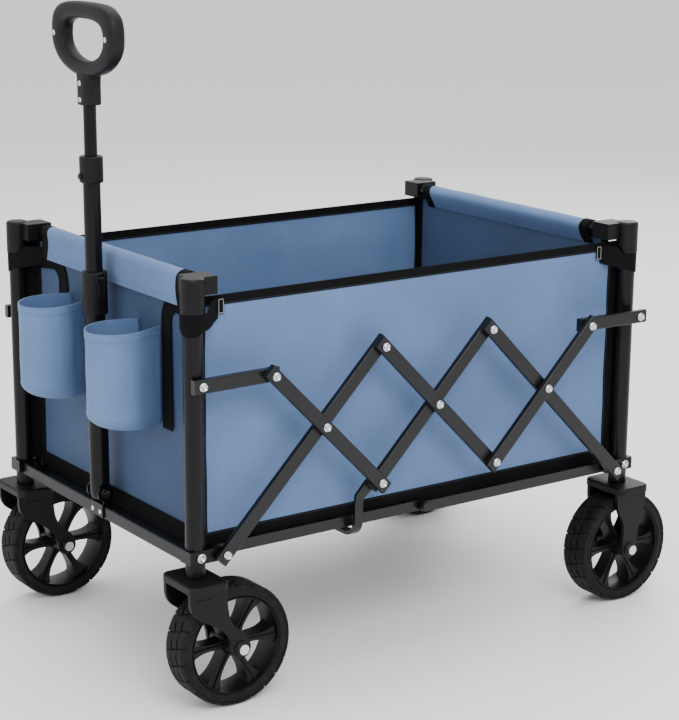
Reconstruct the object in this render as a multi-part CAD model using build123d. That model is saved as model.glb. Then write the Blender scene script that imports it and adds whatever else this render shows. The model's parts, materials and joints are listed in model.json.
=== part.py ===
from build123d import *
import math
import os

# Collapsible beach cart. X runs from the handle end (-X) to the rear (+X), Y across, Z up.
# The origin is on the ground under the middle of the whole cart. Left is the -Y side.
# All sizes are millimetres. "Out" distances are measured outwards from the line of the posts.

# ---- overall frame ----
POST_SPAN = 786.0  # front post axis to rear post axis
POST_TRACK = 520.0  # left post axis to right post axis
CAP_TOP = 615.0  # height of the post caps
POST_BOTTOM = 195.0
POST_RADIUS = 14.0
POST_WALL = 1.6
POST_SOLID_END = 36.0  # thick lower end that holds the swivel stem
FOOT_BOLT = 5.5  # how deep the bolt at a post's foot goes into it
CAP_WALL = 2.7
CAP_HEIGHT = 48.0
CAP_ROOF = 6.0
RUNNING = 0.05  # radial clearance of pins in holes
GAP = 0.3  # clearance between pieces that only lie against each other

# ---- end frames ----
LOW_Z = 226.0  # height of the lower pivots and floor rails
CROSS_TUBE = 20.0
CROSS_TUBE_WALL = 1.5
CROSS_TUBE_Z = 222.0
TOP_TUBE_RADIUS = 9.5
TOP_TUBE_SET_BACK = 27.5  # top tube axis, inwards of the posts
TOP_TUBE_Z = 601.0
LUG_SIZE = 25.0
LUG_LENGTH = 22.0

# ---- folding scissor bars ----
THETA_OPEN = 45.3  # bar angle above level when open, degrees
FOLD_RANGE = 34.5  # how far each bar turns to the folded limit, degrees
ARM_P = 143.5
ARM_Q = 139.0
ARM_R = 225.0
ARM_B_UPPER = 120.0
PIVOT_INSET = POST_SPAN / 2 - (ARM_P + ARM_Q + ARM_R) * math.cos(math.radians(THETA_OPEN))
BAR_WIDTH = 20.0
BAR_THICKNESS = 10.0
BAR_WALL = 1.5
BAR_END = 13.0  # how far a bar runs past its last pin
BAR_PLUG = 9.0
BAR_CLEARANCE = 2.0  # from a post's side to the innermost bar
LAYER_PITCH = 11.0
PIN_RADIUS = 4.0
HEAD_RADIUS = 6.5
HEAD_HEIGHT = 3.0
TAIL_HEIGHT = 2.5

# ---- floor rails and bow ----
RAIL_HEIGHT = 16.0
RAIL_THICKNESS = 9.0
RAIL_GAP = 0.5  # from the post line to each rail
BRACKET_RADIUS = 9.5
BOW_WIDTH = 14.0
BOW_THICKNESS = 5.5
BOW_CLEARANCE = 0.5  # from the bow to the innermost bar
BOW_DROP = 84.0  # lower pin to the underside of the bow
BOW_OFFSET = 26.0  # bow leg, forwards of its pin
BOW_BEND = 26.0

# ---- wheels ----
WHEEL_RADIUS = 89.0
TYRE_WIDTH = 50.0
TYRE_INNER = 67.0
RIM_WIDTH = 44.0
RIM_BARREL = 5.0
HUB_RADIUS = 16.0
HUB_HALF = 28.0
SPOKES = 6
AXLE_RADIUS = 6.0
AXLE_HEAD_RADIUS = 7.5
TRAIL = 52.0
FORK_TOP = POST_BOTTOM - 0.5
FORK_CROWN = 11.0
FORK_LENGTH = 62.0
FORK_HALF_WIDTH = 44.0
FORK_SKIRT = 12.0  # straight part of each leg, below the crown
FORK_LEG_IN = 29.5
FORK_LEG = 6.5
FORK_BOSS = 15.0
AXLE_REACH = 43.5
STEM_RADIUS = 8.0
STEM_HEIGHT = 33.0

# ---- fabric ----
FABRIC = 3.0
WALL_OFFSET = 22.6  # outer face of the end walls, inwards of the posts
WALL_BOTTOM = 236.0
PANEL_TOP = 584.0
PANEL_OUT = -11.0
SLEEVE = 1.7
SLEEVE_DROP = 41.0
FLOOR_Z = 236.6
FLOOR_THICKNESS = 6.0
POCKET_RADIUS = 45.6
POCKET_WALL = 2.0
POCKET_OFFSET = 28.0  # pocket axis, forwards of the posts
POCKET_Y = 103.0
POCKET_BOTTOM = 377.0
POCKET_TOP = 522.0

# ---- handle ----
HANDLE_X = -6.0  # pivot, inwards of the posts
HANDLE_Z = 251.0
HANDLE_LEAN = 0.2
EAR_IN = 15.0
EAR_PLATE = 3.0
EAR_TOP = 13.0
LOWER_RADIUS = 14.5
LOWER_WALL = 1.8
LOWER_LENGTH = 300.0
LOWER_PLUG = 20.0
MIDDLE_RADIUS = 12.5
MIDDLE_START = 150.0
MIDDLE_END = 477.0
INNER_RADIUS = 9.3
INNER_WALL = 1.6
INNER_START = 230.0
INNER_END = 597.0
CLAMP_START = 267.0
CLAMP_END = 330.0
CLAMP_RADIUS = 18.5
COLLAR_START = 458.0
COLLAR_END = 496.0
COLLAR_RADIUS = 17.0
STEM_START = 568.0
STEM_END = 609.0
GRIP_STEM_RADIUS = 14.6
GRIP_THICKNESS = 27.0
GRIP_HALF = 89.0  # half the ring's width
GRIP_TOP = 711.0
GRIP_LOW = 607.0
GRIP_BAR = 24.0  # height of the bar that the hand holds
GRIP_SIDE = 27.0
GRIP_BASE = 21.0
GRIP_CORNER = 26.0
GRIP_HOLE_CORNER = 13.0
BUTTON_RADIUS = 4.5
BUTTON_PROUD = 3.0
BUTTON_HEIGHT = 468.0
LEVER_LENGTH = 30.0
LEVER_HALF = 5.0
LEVER_THICKNESS = 4.0
LEVER_PIVOT = 322.0

# ---- places worked out from the sizes above ----
HALF_TRACK = POST_TRACK / 2
CAP_RADIUS = POST_RADIUS + CAP_WALL
FIRST_LAYER = POST_RADIUS + BAR_CLEARANCE  # inner face of the innermost bar, out from the post line
X_FRONT = -(POST_SPAN + WHEEL_RADIUS - POCKET_RADIUS - POCKET_OFFSET) / 2
X_REAR = X_FRONT + POST_SPAN
X_MIDDLE = (X_FRONT + X_REAR) / 2
COS_OPEN = math.cos(math.radians(THETA_OPEN))
SIN_OPEN = math.sin(math.radians(THETA_OPEN))
BOW_OUT = FIRST_LAYER - BOW_CLEARANCE - BOW_THICKNESS
THETA_FOLDED = math.radians(THETA_OPEN + FOLD_RANGE)

CROSSING_Z = LOW_Z + ARM_R * SIN_OPEN
MIDDLE_Z = CROSSING_Z + (ARM_P - ARM_Q) * SIN_OPEN
PINS = {
    "a_bottom": (X_FRONT + PIVOT_INSET, LOW_Z),
    "ab": (X_MIDDLE - (ARM_P + ARM_Q) * COS_OPEN, CROSSING_Z),
    "ac_top": (X_MIDDLE - ARM_Q * COS_OPEN, MIDDLE_Z + ARM_Q * SIN_OPEN),
    "bd_bottom": (X_MIDDLE - ARM_P * COS_OPEN, MIDDLE_Z - ARM_P * SIN_OPEN),
    "cd": (X_MIDDLE, MIDDLE_Z),
    "cf_bottom": (X_MIDDLE + ARM_P * COS_OPEN, MIDDLE_Z - ARM_P * SIN_OPEN),
    "de_top": (X_MIDDLE + ARM_Q * COS_OPEN, MIDDLE_Z + ARM_Q * SIN_OPEN),
    "ef": (X_MIDDLE + (ARM_P + ARM_Q) * COS_OPEN, CROSSING_Z),
    "e_bottom": (X_REAR - PIVOT_INSET, LOW_Z),
}
PINS["b_top"] = (PINS["ab"][0] - ARM_B_UPPER * COS_OPEN, CROSSING_Z + ARM_B_UPPER * SIN_OPEN)
PINS["f_top"] = (PINS["ef"][0] + ARM_B_UPPER * COS_OPEN, CROSSING_Z + ARM_B_UPPER * SIN_OPEN)


def link_height():
    """Height of the link's post pin for which the link is as long folded as it is open."""
    open_run = PINS["b_top"][0] - X_FRONT
    open_z = PINS["b_top"][1]
    folded_run = PIVOT_INSET + (ARM_R - ARM_B_UPPER) * math.cos(THETA_FOLDED)
    folded_z = LOW_Z + (ARM_R + ARM_B_UPPER) * math.sin(THETA_FOLDED)
    return (folded_run**2 + folded_z**2 - open_run**2 - open_z**2) / (2 * (folded_z - open_z))


LINK_Z = link_height()
PINS["front_link"] = (X_FRONT, LINK_Z)
PINS["rear_link"] = (X_REAR, LINK_Z)


def layer(number):
    """Inner and outer face of a bar layer, out from the post line."""
    inner = FIRST_LAYER + (number - 1) * LAYER_PITCH
    return inner, inner + BAR_THICKNESS


def left(out):
    """Y of a distance out from the left posts' line."""
    return -HALF_TRACK - out


def both_sides(shape):
    """A left-hand shape and its right-hand mirror image, as two solids."""
    return Compound(children=[shape.solid(), mirror(shape, about=Plane.XZ).solid()])


def rod_y(radius, out_from, out_to, x, z):
    """A left-hand cylinder along Y between two distances out."""
    low, high = sorted((left(out_from), left(out_to)))
    return Pos(x, (low + high) / 2, z) * Rot(90, 0, 0) * Cylinder(radius, high - low)


def block(x_range, y_range, z_range):
    size = [high - low for low, high in (x_range, y_range, z_range)]
    centre = [(low + high) / 2 for low, high in (x_range, y_range, z_range)]
    return Pos(*centre) * Box(*size)


def rod_z(radius, x, y, z_low, z_high):
    return Pos(x, y, (z_low + z_high) / 2) * Cylinder(radius, z_high - z_low)


def save(name, shape):
    export_step(shape, f"parts/{name}.step")


# ---- posts, caps and cross tubes ----
def post(x, y, bolt_heights):
    tube = rod_z(POST_RADIUS, x, y, POST_BOTTOM, CAP_TOP - CAP_ROOF - GAP)
    bore_low = POST_BOTTOM + POST_SOLID_END
    tube -= rod_z(POST_RADIUS - POST_WALL, x, y, bore_low, CAP_TOP)
    tube -= rod_z(STEM_RADIUS + RUNNING, x, y, POST_BOTTOM - 1, bore_low + 1)
    foot_z, link_z = bolt_heights
    out = math.copysign(POST_RADIUS, y)
    tube -= Pos(x, y + out, foot_z) * Rot(90, 0, 0) * Cylinder(PIN_RADIUS + RUNNING, 2 * FOOT_BOLT)
    return tube - Pos(x, y, link_z) * Rot(90, 0, 0) * Cylinder(PIN_RADIUS + RUNNING, 3 * POST_RADIUS)


def inwards(x):
    """+1 at the front end, -1 at the rear end: the way from the posts into the cart."""
    return 1 if x < X_MIDDLE else -1


def cap(x):
    y = left(0)
    shell = rod_z(CAP_RADIUS, x, y, CAP_TOP - CAP_HEIGHT, CAP_TOP)
    shell = fillet(shell.edges().group_by(Axis.Z)[-1], 4)
    tube_x = x + inwards(x) * TOP_TUBE_SET_BACK
    lug_x = sorted((x, tube_x + inwards(x) * LUG_SIZE / 2))
    lug_y = (y, y + POST_RADIUS + LUG_LENGTH)
    lug = block(lug_x, lug_y, (TOP_TUBE_Z - LUG_SIZE / 2, TOP_TUBE_Z + LUG_SIZE / 2))
    shell += lug
    shell -= rod_z(POST_RADIUS + RUNNING, x, y, CAP_TOP - CAP_HEIGHT - 1, CAP_TOP - CAP_ROOF)
    socket_low = lug_y[1] - LUG_LENGTH / 2
    socket = Pos(tube_x, socket_low + LUG_LENGTH / 2, TOP_TUBE_Z) * Rot(90, 0, 0)
    return shell - socket * Cylinder(TOP_TUBE_RADIUS + RUNNING, LUG_LENGTH)


def top_tube(x):
    tube_x = x + inwards(x) * TOP_TUBE_SET_BACK
    half = HALF_TRACK - POST_RADIUS - LUG_LENGTH / 2 - GAP
    tube = Cylinder(TOP_TUBE_RADIUS, 2 * half) - Cylinder(TOP_TUBE_RADIUS - 1.5, 2 * half)
    return Pos(tube_x, 0, TOP_TUBE_Z) * Rot(90, 0, 0) * tube


def bottom_tube(x):
    half = HALF_TRACK - POST_RADIUS - GAP
    outer = Box(CROSS_TUBE, 2 * half, CROSS_TUBE)
    outer = fillet(outer.edges().filter_by(Axis.Y), 2.5)
    bore = CROSS_TUBE - 2 * CROSS_TUBE_WALL
    return Pos(x, 0, CROSS_TUBE_Z) * (outer - Box(bore, 2 * half + 1, bore))


def pivot_bracket(x):
    """Clip round a post's foot, with two plates that carry the floor rail and the lowest pin."""
    side = inwards(x)
    pin_x = x + side * PIVOT_INSET
    y_out = left(FIRST_LAYER - 1.2)
    y_in = left(-POST_RADIUS + 1)
    body_x = sorted((x - side * (POST_RADIUS + 2.5), pin_x))
    body = block(body_x, (y_out, y_in), (LOW_Z - BRACKET_RADIUS, LOW_Z + BRACKET_RADIUS))
    nose = Pos(pin_x, (y_out + y_in) / 2, LOW_Z) * Rot(90, 0, 0)
    body += nose * Cylinder(BRACKET_RADIUS, y_in - y_out)
    slot_x = sorted((x + side * (POST_RADIUS + 2), pin_x + side * 2 * BRACKET_RADIUS))
    slot_y = (left(RAIL_GAP + RAIL_THICKNESS + 0.6), left(-RAIL_GAP - RAIL_THICKNESS - 0.6))
    body -= block(slot_x, slot_y, (LOW_Z - 20, LOW_Z + 20))
    body -= rod_z(POST_RADIUS + RUNNING, x, left(0), LOW_Z - 20, LOW_Z + 20)
    body -= rod_y(PIN_RADIUS + RUNNING, -20, 20, pin_x, LOW_Z)
    return body - rod_y(PIN_RADIUS + RUNNING, -20, 20, x, LOW_Z)


# ---- rivets and bolts ----
def rivet(pin, out_from, out_to, shoulder_to=None):
    """Shank with a domed head outside and a flat tail inside, for the left side."""
    x, z = PINS[pin]
    body = rod_y(PIN_RADIUS, out_from - TAIL_HEIGHT, out_to, x, z)
    body += rod_y(HEAD_RADIUS, out_from - TAIL_HEIGHT, out_from, x, z)
    head = rod_y(HEAD_RADIUS, out_to, out_to + HEAD_HEIGHT, x, z)
    head = fillet(head.edges().group_by(Axis.Y)[0], 2)
    body += head
    if shoulder_to is not None:
        body += rod_y(HEAD_RADIUS, shoulder_to[0], shoulder_to[1], x, z)
    return body


def frame_bolts(x):
    """The pins and bolts that an end frame carries on both sides."""
    front = x < X_MIDDLE
    number = 1 if front else 2
    inner, outer = layer(number)
    bracket_out = FIRST_LAYER - 1.2
    low = rivet(
        "a_bottom" if front else "e_bottom",
        -POST_RADIUS + 1 - 0.05,
        outer + GAP,
        (bracket_out + 0.05, inner - GAP),
    )
    link = rivet(
        "front_link" if front else "rear_link",
        -POST_RADIUS - 0.05,
        outer + GAP,
        (POST_RADIUS + 0.05, inner - GAP),
    )
    foot = rod_y(PIN_RADIUS, POST_RADIUS - FOOT_BOLT + 0.2, bracket_out + 1, x, LOW_Z)
    foot += rod_y(HEAD_RADIUS, bracket_out + 0.05, bracket_out + HEAD_HEIGHT, x, LOW_Z)
    solids = []
    for piece in (low, link, foot):
        solids.append(piece.solid())
        solids.append(mirror(piece, about=Plane.XZ).solid())
    return solids


def handle_pin():
    x = X_FRONT + HANDLE_X
    reach = EAR_IN + EAR_PLATE + 0.05
    pin = Pos(x, 0, HANDLE_Z) * Rot(90, 0, 0) * Cylinder(PIN_RADIUS, 2 * reach + 2 * TAIL_HEIGHT)
    for side in (-1, 1):
        head = Cylinder(HEAD_RADIUS, TAIL_HEIGHT)
        pin += Pos(x, side * (reach + TAIL_HEIGHT / 2), HANDLE_Z) * Rot(90, 0, 0) * head
    return pin.solid()


# ---- scissor bars ----
BARS = {
    "a": (1, ("a_bottom", "ab", "ac_top")),
    "b": (2, ("b_top", "ab", "bd_bottom")),
    "c": (2, ("ac_top", "cd", "cf_bottom")),
    "d": (1, ("bd_bottom", "cd", "de_top")),
    "e": (2, ("de_top", "ef", "e_bottom")),
    "f": (3, ("cf_bottom", "ef", "f_top")),
}


def flat_bar(number, pin_names):
    """A hollow flat bar with closed ends, from its first pin to its last."""
    (x0, z0), (x1, z1) = PINS[pin_names[0]], PINS[pin_names[-1]]
    run = math.hypot(x1 - x0, z1 - z0)
    angle = math.degrees(math.atan2(z1 - z0, x1 - x0))
    length = run + 2 * BAR_END
    bar = Box(length, BAR_THICKNESS, BAR_WIDTH)
    bar = fillet(bar.edges().filter_by(Axis.X), 2.0)
    bar -= Box(length - 2 * BAR_PLUG, BAR_THICKNESS - 2 * BAR_WALL, BAR_WIDTH - 2 * BAR_WALL)
    inner, outer = layer(number)
    place = Pos((x0 + x1) / 2, left((inner + outer) / 2), (z0 + z1) / 2) * Rot(0, -angle, 0)
    bar = place * bar
    for name in pin_names:
        x, z = PINS[name]
        bar -= rod_y(PIN_RADIUS + RUNNING, inner - 1, outer + 1, x, z)
    return bar


def scissor_rivets():
    """Each bar's own rivets: the pin, its innermost face and its outermost face."""
    one, two, three = layer(1), layer(2), layer(3)
    return {
        "a": [("ab", one[0], two[1]), ("ac_top", one[0], two[1])],
        "b": [("b_top", two[0], two[1]), ("bd_bottom", BOW_OUT, two[1])],
        "c": [("cd", one[0], two[1])],
        "e": [("ef", two[0], three[1]), ("de_top", one[0], two[1])],
        "f": [("cf_bottom", two[0], three[1]), ("f_top", three[0], three[1])],
    }


def bar_rivets(entries):
    solids = []
    for pin, inner, outer in entries:
        x, z = PINS[pin]
        if pin in ("b_top", "f_top"):
            # The link is not pinned here, so this rivet ends inside its own bar.
            piece = rod_y(PIN_RADIUS, inner + BAR_WALL, outer, x, z)
            head = rod_y(HEAD_RADIUS, outer + 0.05, outer + 0.05 + HEAD_HEIGHT, x, z)
            head = fillet(head.edges().group_by(Axis.Y)[0], 2)
            piece += rod_y(PIN_RADIUS, outer, outer + 1, x, z)
            piece += head
        else:
            piece = rivet(pin, inner - 0.05, outer + 0.05)
        solids.append(piece.solid())
        solids.append(mirror(piece, about=Plane.XZ).solid())
    return Compound(children=solids)


def link(front):
    if front:
        return flat_bar(1, ("front_link", "b_top"))
    return flat_bar(2, ("f_top", "rear_link"))


# ---- folding floor rails and bow ----
def floor_rail(front):
    """Half of a side's floor rail, from its end-frame pin to the middle of the cart."""
    pin_x = PINS["a_bottom"][0] if front else PINS["e_bottom"][0]
    side = 1 if front else -1
    out = (-RAIL_GAP - RAIL_THICKNESS, -RAIL_GAP) if front else (RAIL_GAP, RAIL_GAP + RAIL_THICKNESS)
    x_range = sorted((pin_x, X_MIDDLE))
    y_range = sorted((left(out[0]), left(out[1])))
    bar = block(x_range, y_range, (LOW_Z - RAIL_HEIGHT / 2, LOW_Z + RAIL_HEIGHT / 2))
    for x in x_range:
        bar += rod_y(RAIL_HEIGHT / 2, out[0], out[1], x, LOW_Z)
    bore_x = sorted((pin_x + side * 16, X_MIDDLE - side * 16))
    bore = 1.5
    bar -= block(
        bore_x,
        (y_range[0] + bore, y_range[1] - bore),
        (LOW_Z - RAIL_HEIGHT / 2 + bore, LOW_Z + RAIL_HEIGHT / 2 - bore),
    )
    bar -= rod_y(PIN_RADIUS + RUNNING, out[0] - 1, out[1] + 1, pin_x, LOW_Z)
    if not front:
        head = rod_y(HEAD_RADIUS, out[1], out[1] + TAIL_HEIGHT, X_MIDDLE, LOW_Z)
        bar += fillet(head.edges().group_by(Axis.Y)[0], 1.5)
    return bar


def floor_bow():
    """Flat bar bent under the floor, hung from the lower bar joints of both sides."""
    pin_x, pin_z = PINS["bd_bottom"]
    leg_x = pin_x - BOW_OFFSET
    half = HALF_TRACK + BOW_OUT + BOW_THICKNESS
    low = pin_z - BOW_DROP
    knee = pin_z - 34
    outline = FilletPolyline(
        (-half, knee), (-half, low), (half, low), (half, knee), radius=BOW_BEND
    )
    inside = FilletPolyline(
        (half - BOW_THICKNESS, knee),
        (half - BOW_THICKNESS, low + BOW_THICKNESS),
        (-half + BOW_THICKNESS, low + BOW_THICKNESS),
        (-half + BOW_THICKNESS, knee),
        radius=BOW_BEND - BOW_THICKNESS,
    )
    ends = [Line(outline @ 1, inside @ 0), Line(inside @ 1, outline @ 0)]
    face = make_face([outline, inside] + ends)
    bar = extrude(Plane.YZ * face, BOW_WIDTH / 2, both=True)
    bar = Pos(leg_x, 0, 0) * bar
    profile = make_hull(
        (Pos(leg_x, knee) * Circle(BOW_WIDTH / 2)).edges()
        + (Pos(leg_x + 2, knee + 12) * Circle(BOW_WIDTH / 2)).edges()
    )
    upper = make_hull(
        (Pos(leg_x + 2, knee + 12) * Circle(BOW_WIDTH / 2)).edges()
        + (Pos(pin_x, pin_z) * Circle(HEAD_RADIUS + 2.5)).edges()
    )
    plate = extrude(Plane.XZ * profile, BOW_THICKNESS) + extrude(Plane.XZ * upper, BOW_THICKNESS)
    plate = Pos(0, left(BOW_OUT), 0) * plate
    bar += plate
    bar += mirror(plate, about=Plane.XZ)
    hole = rod_y(PIN_RADIUS + RUNNING, BOW_OUT - 5, BOW_OUT + 10, pin_x, pin_z)
    return bar - hole - mirror(hole, about=Plane.XZ)


# ---- wheels, forks and axles ----
def fork(x, y, trail):
    """Crown plate with a stem up into the post and two legs down to the axle."""
    axle_x = x + trail
    crown_low = FORK_TOP - FORK_CROWN
    crown = Pos(x, y, FORK_TOP - FORK_CROWN / 2)
    body = crown * Box(FORK_LENGTH, 2 * FORK_HALF_WIDTH, FORK_CROWN)
    body = fillet(body.edges().filter_by(Axis.Z), 12)
    body = fillet(body.edges().group_by(Axis.Z)[-1], 3)
    body += rod_z(STEM_RADIUS, x, y, FORK_TOP - 1, FORK_TOP + STEM_HEIGHT)
    half = FORK_LENGTH / 2 - 1
    top_z = crown_low + 4
    skirt_z = crown_low - FORK_SKIRT
    front_edge = Spline(
        (x - half, skirt_z),
        (x - 0.55 * half + 0.28 * trail, (skirt_z + WHEEL_RADIUS) / 2 + 6),
        (axle_x - FORK_BOSS, WHEEL_RADIUS),
        tangents=((0.02, -1), (0.1, -1)),
    )
    boss = ThreePointArc(
        (axle_x - FORK_BOSS, WHEEL_RADIUS),
        (axle_x, WHEEL_RADIUS - FORK_BOSS),
        (axle_x + FORK_BOSS, WHEEL_RADIUS),
    )
    rear_edge = Spline(
        (axle_x + FORK_BOSS, WHEEL_RADIUS),
        (x + 0.6 * half + 0.42 * trail, (skirt_z + WHEEL_RADIUS) / 2 - 4),
        (x + half, skirt_z),
        tangents=((-0.1, 1), (0.02, 1)),
    )
    skirt = Polyline((x + half, skirt_z), (x + half, top_z), (x - half, top_z), (x - half, skirt_z))
    profile = make_face([front_edge, boss, rear_edge] + list(skirt.edges()))
    leg = extrude(Plane.XZ * profile, FORK_LEG)
    for side in (-1, 1):
        inner = y + side * FORK_LEG_IN
        y_shift = inner + FORK_LEG if side > 0 else inner
        body += Pos(0, y_shift, 0) * leg
        rim = Pos(axle_x, y + side * (FORK_LEG_IN + FORK_LEG + 0.75), WHEEL_RADIUS)
        body += rim * Rot(90, 0, 0) * Cylinder(AXLE_HEAD_RADIUS + 4, 1.5)
    hole = Pos(axle_x, y, WHEEL_RADIUS) * Rot(90, 0, 0)
    return body - hole * Cylinder(AXLE_RADIUS + RUNNING, 4 * FORK_HALF_WIDTH)


def axle(x, y):
    reach = FORK_LEG_IN + FORK_LEG + 1.5 + 0.05
    bolt = Cylinder(AXLE_RADIUS, 2 * AXLE_REACH - 4)
    head = AXLE_REACH - reach
    for side in (-1, 1):
        bolt += Pos(0, 0, side * (reach + head / 2)) * Cylinder(AXLE_HEAD_RADIUS, head)
    return (Pos(x, y, WHEEL_RADIUS) * Rot(90, 0, 0) * bolt).solid()


def tyre(x, y):
    ring = Cylinder(WHEEL_RADIUS, TYRE_WIDTH)
    ring = fillet(ring.edges().filter_by(GeomType.CIRCLE), 7)
    ring -= Cylinder(TYRE_INNER, TYRE_WIDTH + 1)
    return Pos(x, y, WHEEL_RADIUS) * Rot(90, 0, 0) * ring


def rim(x, y):
    outer = TYRE_INNER - RUNNING
    wheel = Cylinder(outer, RIM_WIDTH) - Cylinder(outer - RIM_BARREL, RIM_WIDTH + 1)
    wheel += Cylinder(HUB_RADIUS, 2 * HUB_HALF)
    spoke_mid = (HUB_RADIUS + outer - RIM_BARREL) / 2
    spoke_run = outer - RIM_BARREL - HUB_RADIUS + 4
    for i in range(SPOKES):
        arm = Pos(spoke_mid, 0, 0) * Box(spoke_run, 11, 26)
        wheel += Rot(0, 0, i * 360 / SPOKES + 30) * arm
    wheel -= Cylinder(AXLE_RADIUS + RUNNING, 3 * HUB_HALF)
    return Pos(x, y, WHEEL_RADIUS) * Rot(90, 0, 0) * wheel


# ---- fabric tub ----
def end_wall(x):
    side = inwards(x)
    half = HALF_TRACK - POST_RADIUS - FABRIC - 0.5
    wall_x = sorted((x + side * WALL_OFFSET, x + side * (WALL_OFFSET + FABRIC)))
    wall = block(wall_x, (-half, half), (WALL_BOTTOM, TOP_TUBE_Z - 4))
    tube_x = x + side * TOP_TUBE_SET_BACK
    sleeve_half = HALF_TRACK - POST_RADIUS - LUG_LENGTH - 2 * GAP
    outer = TOP_TUBE_RADIUS + GAP + SLEEVE
    sleeve = Pos(tube_x, 0, TOP_TUBE_Z) * Rot(90, 0, 0) * Cylinder(outer, 2 * sleeve_half)
    flap_x = sorted((tube_x - side * outer, tube_x - side * (outer - SLEEVE)))
    flap_z = (TOP_TUBE_Z - SLEEVE_DROP, TOP_TUBE_Z)
    top_cut = block(
        sorted((x - side * 5, x + side * 60)),
        (sleeve_half, HALF_TRACK + 5),
        (TOP_TUBE_Z - LUG_SIZE / 2 - 0.5, CAP_TOP + 5),
    )
    wall -= top_cut
    wall -= mirror(top_cut, about=Plane.XZ)
    wall += sleeve
    wall += block(flap_x, (-sleeve_half, sleeve_half), flap_z)
    bore = Pos(tube_x, 0, TOP_TUBE_Z) * Rot(90, 0, 0)
    return wall - bore * Cylinder(TOP_TUBE_RADIUS + GAP, 3 * HALF_TRACK)


def side_panel():
    inset = math.sqrt(CAP_RADIUS**2 - PANEL_OUT**2) + GAP
    return block(
        (X_FRONT + inset, X_REAR - inset),
        (left(PANEL_OUT), left(PANEL_OUT - FABRIC)),
        (WALL_BOTTOM, PANEL_TOP),
    )


def floor_panel():
    x_in = WALL_OFFSET + FABRIC + GAP
    y_in = HALF_TRACK + PANEL_OUT - FABRIC - GAP
    return block(
        (X_FRONT + x_in, X_REAR - x_in),
        (-y_in, y_in),
        (FLOOR_Z, FLOOR_Z + FLOOR_THICKNESS),
    )


def bottle_pocket(y):
    x = X_FRONT - POCKET_OFFSET
    cup = rod_z(POCKET_RADIUS, x, y, POCKET_BOTTOM, POCKET_TOP)
    cup = fillet(cup.edges().group_by(Axis.Z)[0], 14)
    back = X_FRONT + WALL_OFFSET
    cup += block((back - 9, back), (y - 24, y + 24), (POCKET_BOTTOM + 16, POCKET_TOP))
    inner = POCKET_RADIUS - POCKET_WALL
    bore = rod_z(inner, x, y, POCKET_BOTTOM + FABRIC, POCKET_TOP + 1)
    bore = fillet(bore.edges().group_by(Axis.Z)[0], 12)
    return (cup - bore).solid()


# ---- handle ----
def on_handle(shape):
    """Moves a piece built upright about the pivot into its leaning place."""
    return Pos(X_FRONT + HANDLE_X, 0, HANDLE_Z) * Rot(0, -HANDLE_LEAN, 0) * shape


def up_tube(radius, bore, low, high):
    return Pos(0, 0, (low + high) / 2) * (Cylinder(radius, high - low) - Cylinder(bore, high - low))


def handle_bracket():
    x = X_FRONT
    top = CROSS_TUBE_Z + CROSS_TUBE / 2
    y_out = EAR_IN + EAR_PLATE
    base = block((x - CROSS_TUBE / 2, x + CROSS_TUBE / 2), (-y_out, y_out), (top, top + 2))
    tab_x = (x - CROSS_TUBE / 2 - 2.5, x - CROSS_TUBE / 2)
    base += block(tab_x, (-y_out, y_out), (CROSS_TUBE_Z - 8, top + 2))
    for side in (-1, 1):
        ear_y = sorted((side * EAR_IN, side * y_out))
        base += block((x - CROSS_TUBE / 2, x + HANDLE_X + 9), ear_y, (top, HANDLE_Z))
        nose = Pos(x + HANDLE_X, sum(ear_y) / 2, HANDLE_Z) * Rot(90, 0, 0)
        base += nose * Cylinder(EAR_TOP, EAR_PLATE)
    hole = Pos(x + HANDLE_X, 0, HANDLE_Z) * Rot(90, 0, 0)
    return base - hole * Cylinder(PIN_RADIUS + RUNNING, 3 * y_out)


def lower_tube():
    tube = Pos(0, 0, LOWER_LENGTH / 2) * Cylinder(LOWER_RADIUS, LOWER_LENGTH)
    tube += Sphere(LOWER_RADIUS)
    bore_length = LOWER_LENGTH - LOWER_PLUG + 1
    tube -= Pos(0, 0, LOWER_PLUG + bore_length / 2) * Cylinder(LOWER_RADIUS - LOWER_WALL, bore_length)
    tube -= Rot(90, 0, 0) * Cylinder(PIN_RADIUS + RUNNING, 4 * LOWER_RADIUS)
    return on_handle(tube)


def lower_clamp():
    clamp = Pos(0, 0, (CLAMP_START + CLAMP_END) / 2) * Cylinder(CLAMP_RADIUS, CLAMP_END - CLAMP_START)
    clamp = fillet(clamp.edges().filter_by(GeomType.CIRCLE), 2.5)
    for side in (-1, 1):
        ear_x = sorted((side * (LEVER_HALF + GAP), side * (LEVER_HALF + GAP + 3)))
        clamp += block(ear_x, (-CLAMP_RADIUS - 6, 0), (LEVER_PIVOT - 5, LEVER_PIVOT + 5))
    clamp -= block((-40, 40), (-40, -CLAMP_RADIUS - 5.4), (LEVER_PIVOT - 9, LEVER_PIVOT + 9))
    low_bore = (CLAMP_START - 1 + LOWER_LENGTH + GAP) / 2
    clamp -= Pos(0, 0, low_bore) * Cylinder(LOWER_RADIUS + RUNNING, LOWER_LENGTH + GAP - CLAMP_START + 1)
    clamp -= Pos(0, 0, CLAMP_END) * Cylinder(MIDDLE_RADIUS + 0.1, 2 * (CLAMP_END - LOWER_LENGTH + 1))
    pin = Pos(0, -CLAMP_RADIUS - 3, LEVER_PIVOT) * Rot(0, 90, 0)
    clamp -= pin * Cylinder(1.5 + RUNNING, 30)
    return on_handle(clamp)


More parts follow.
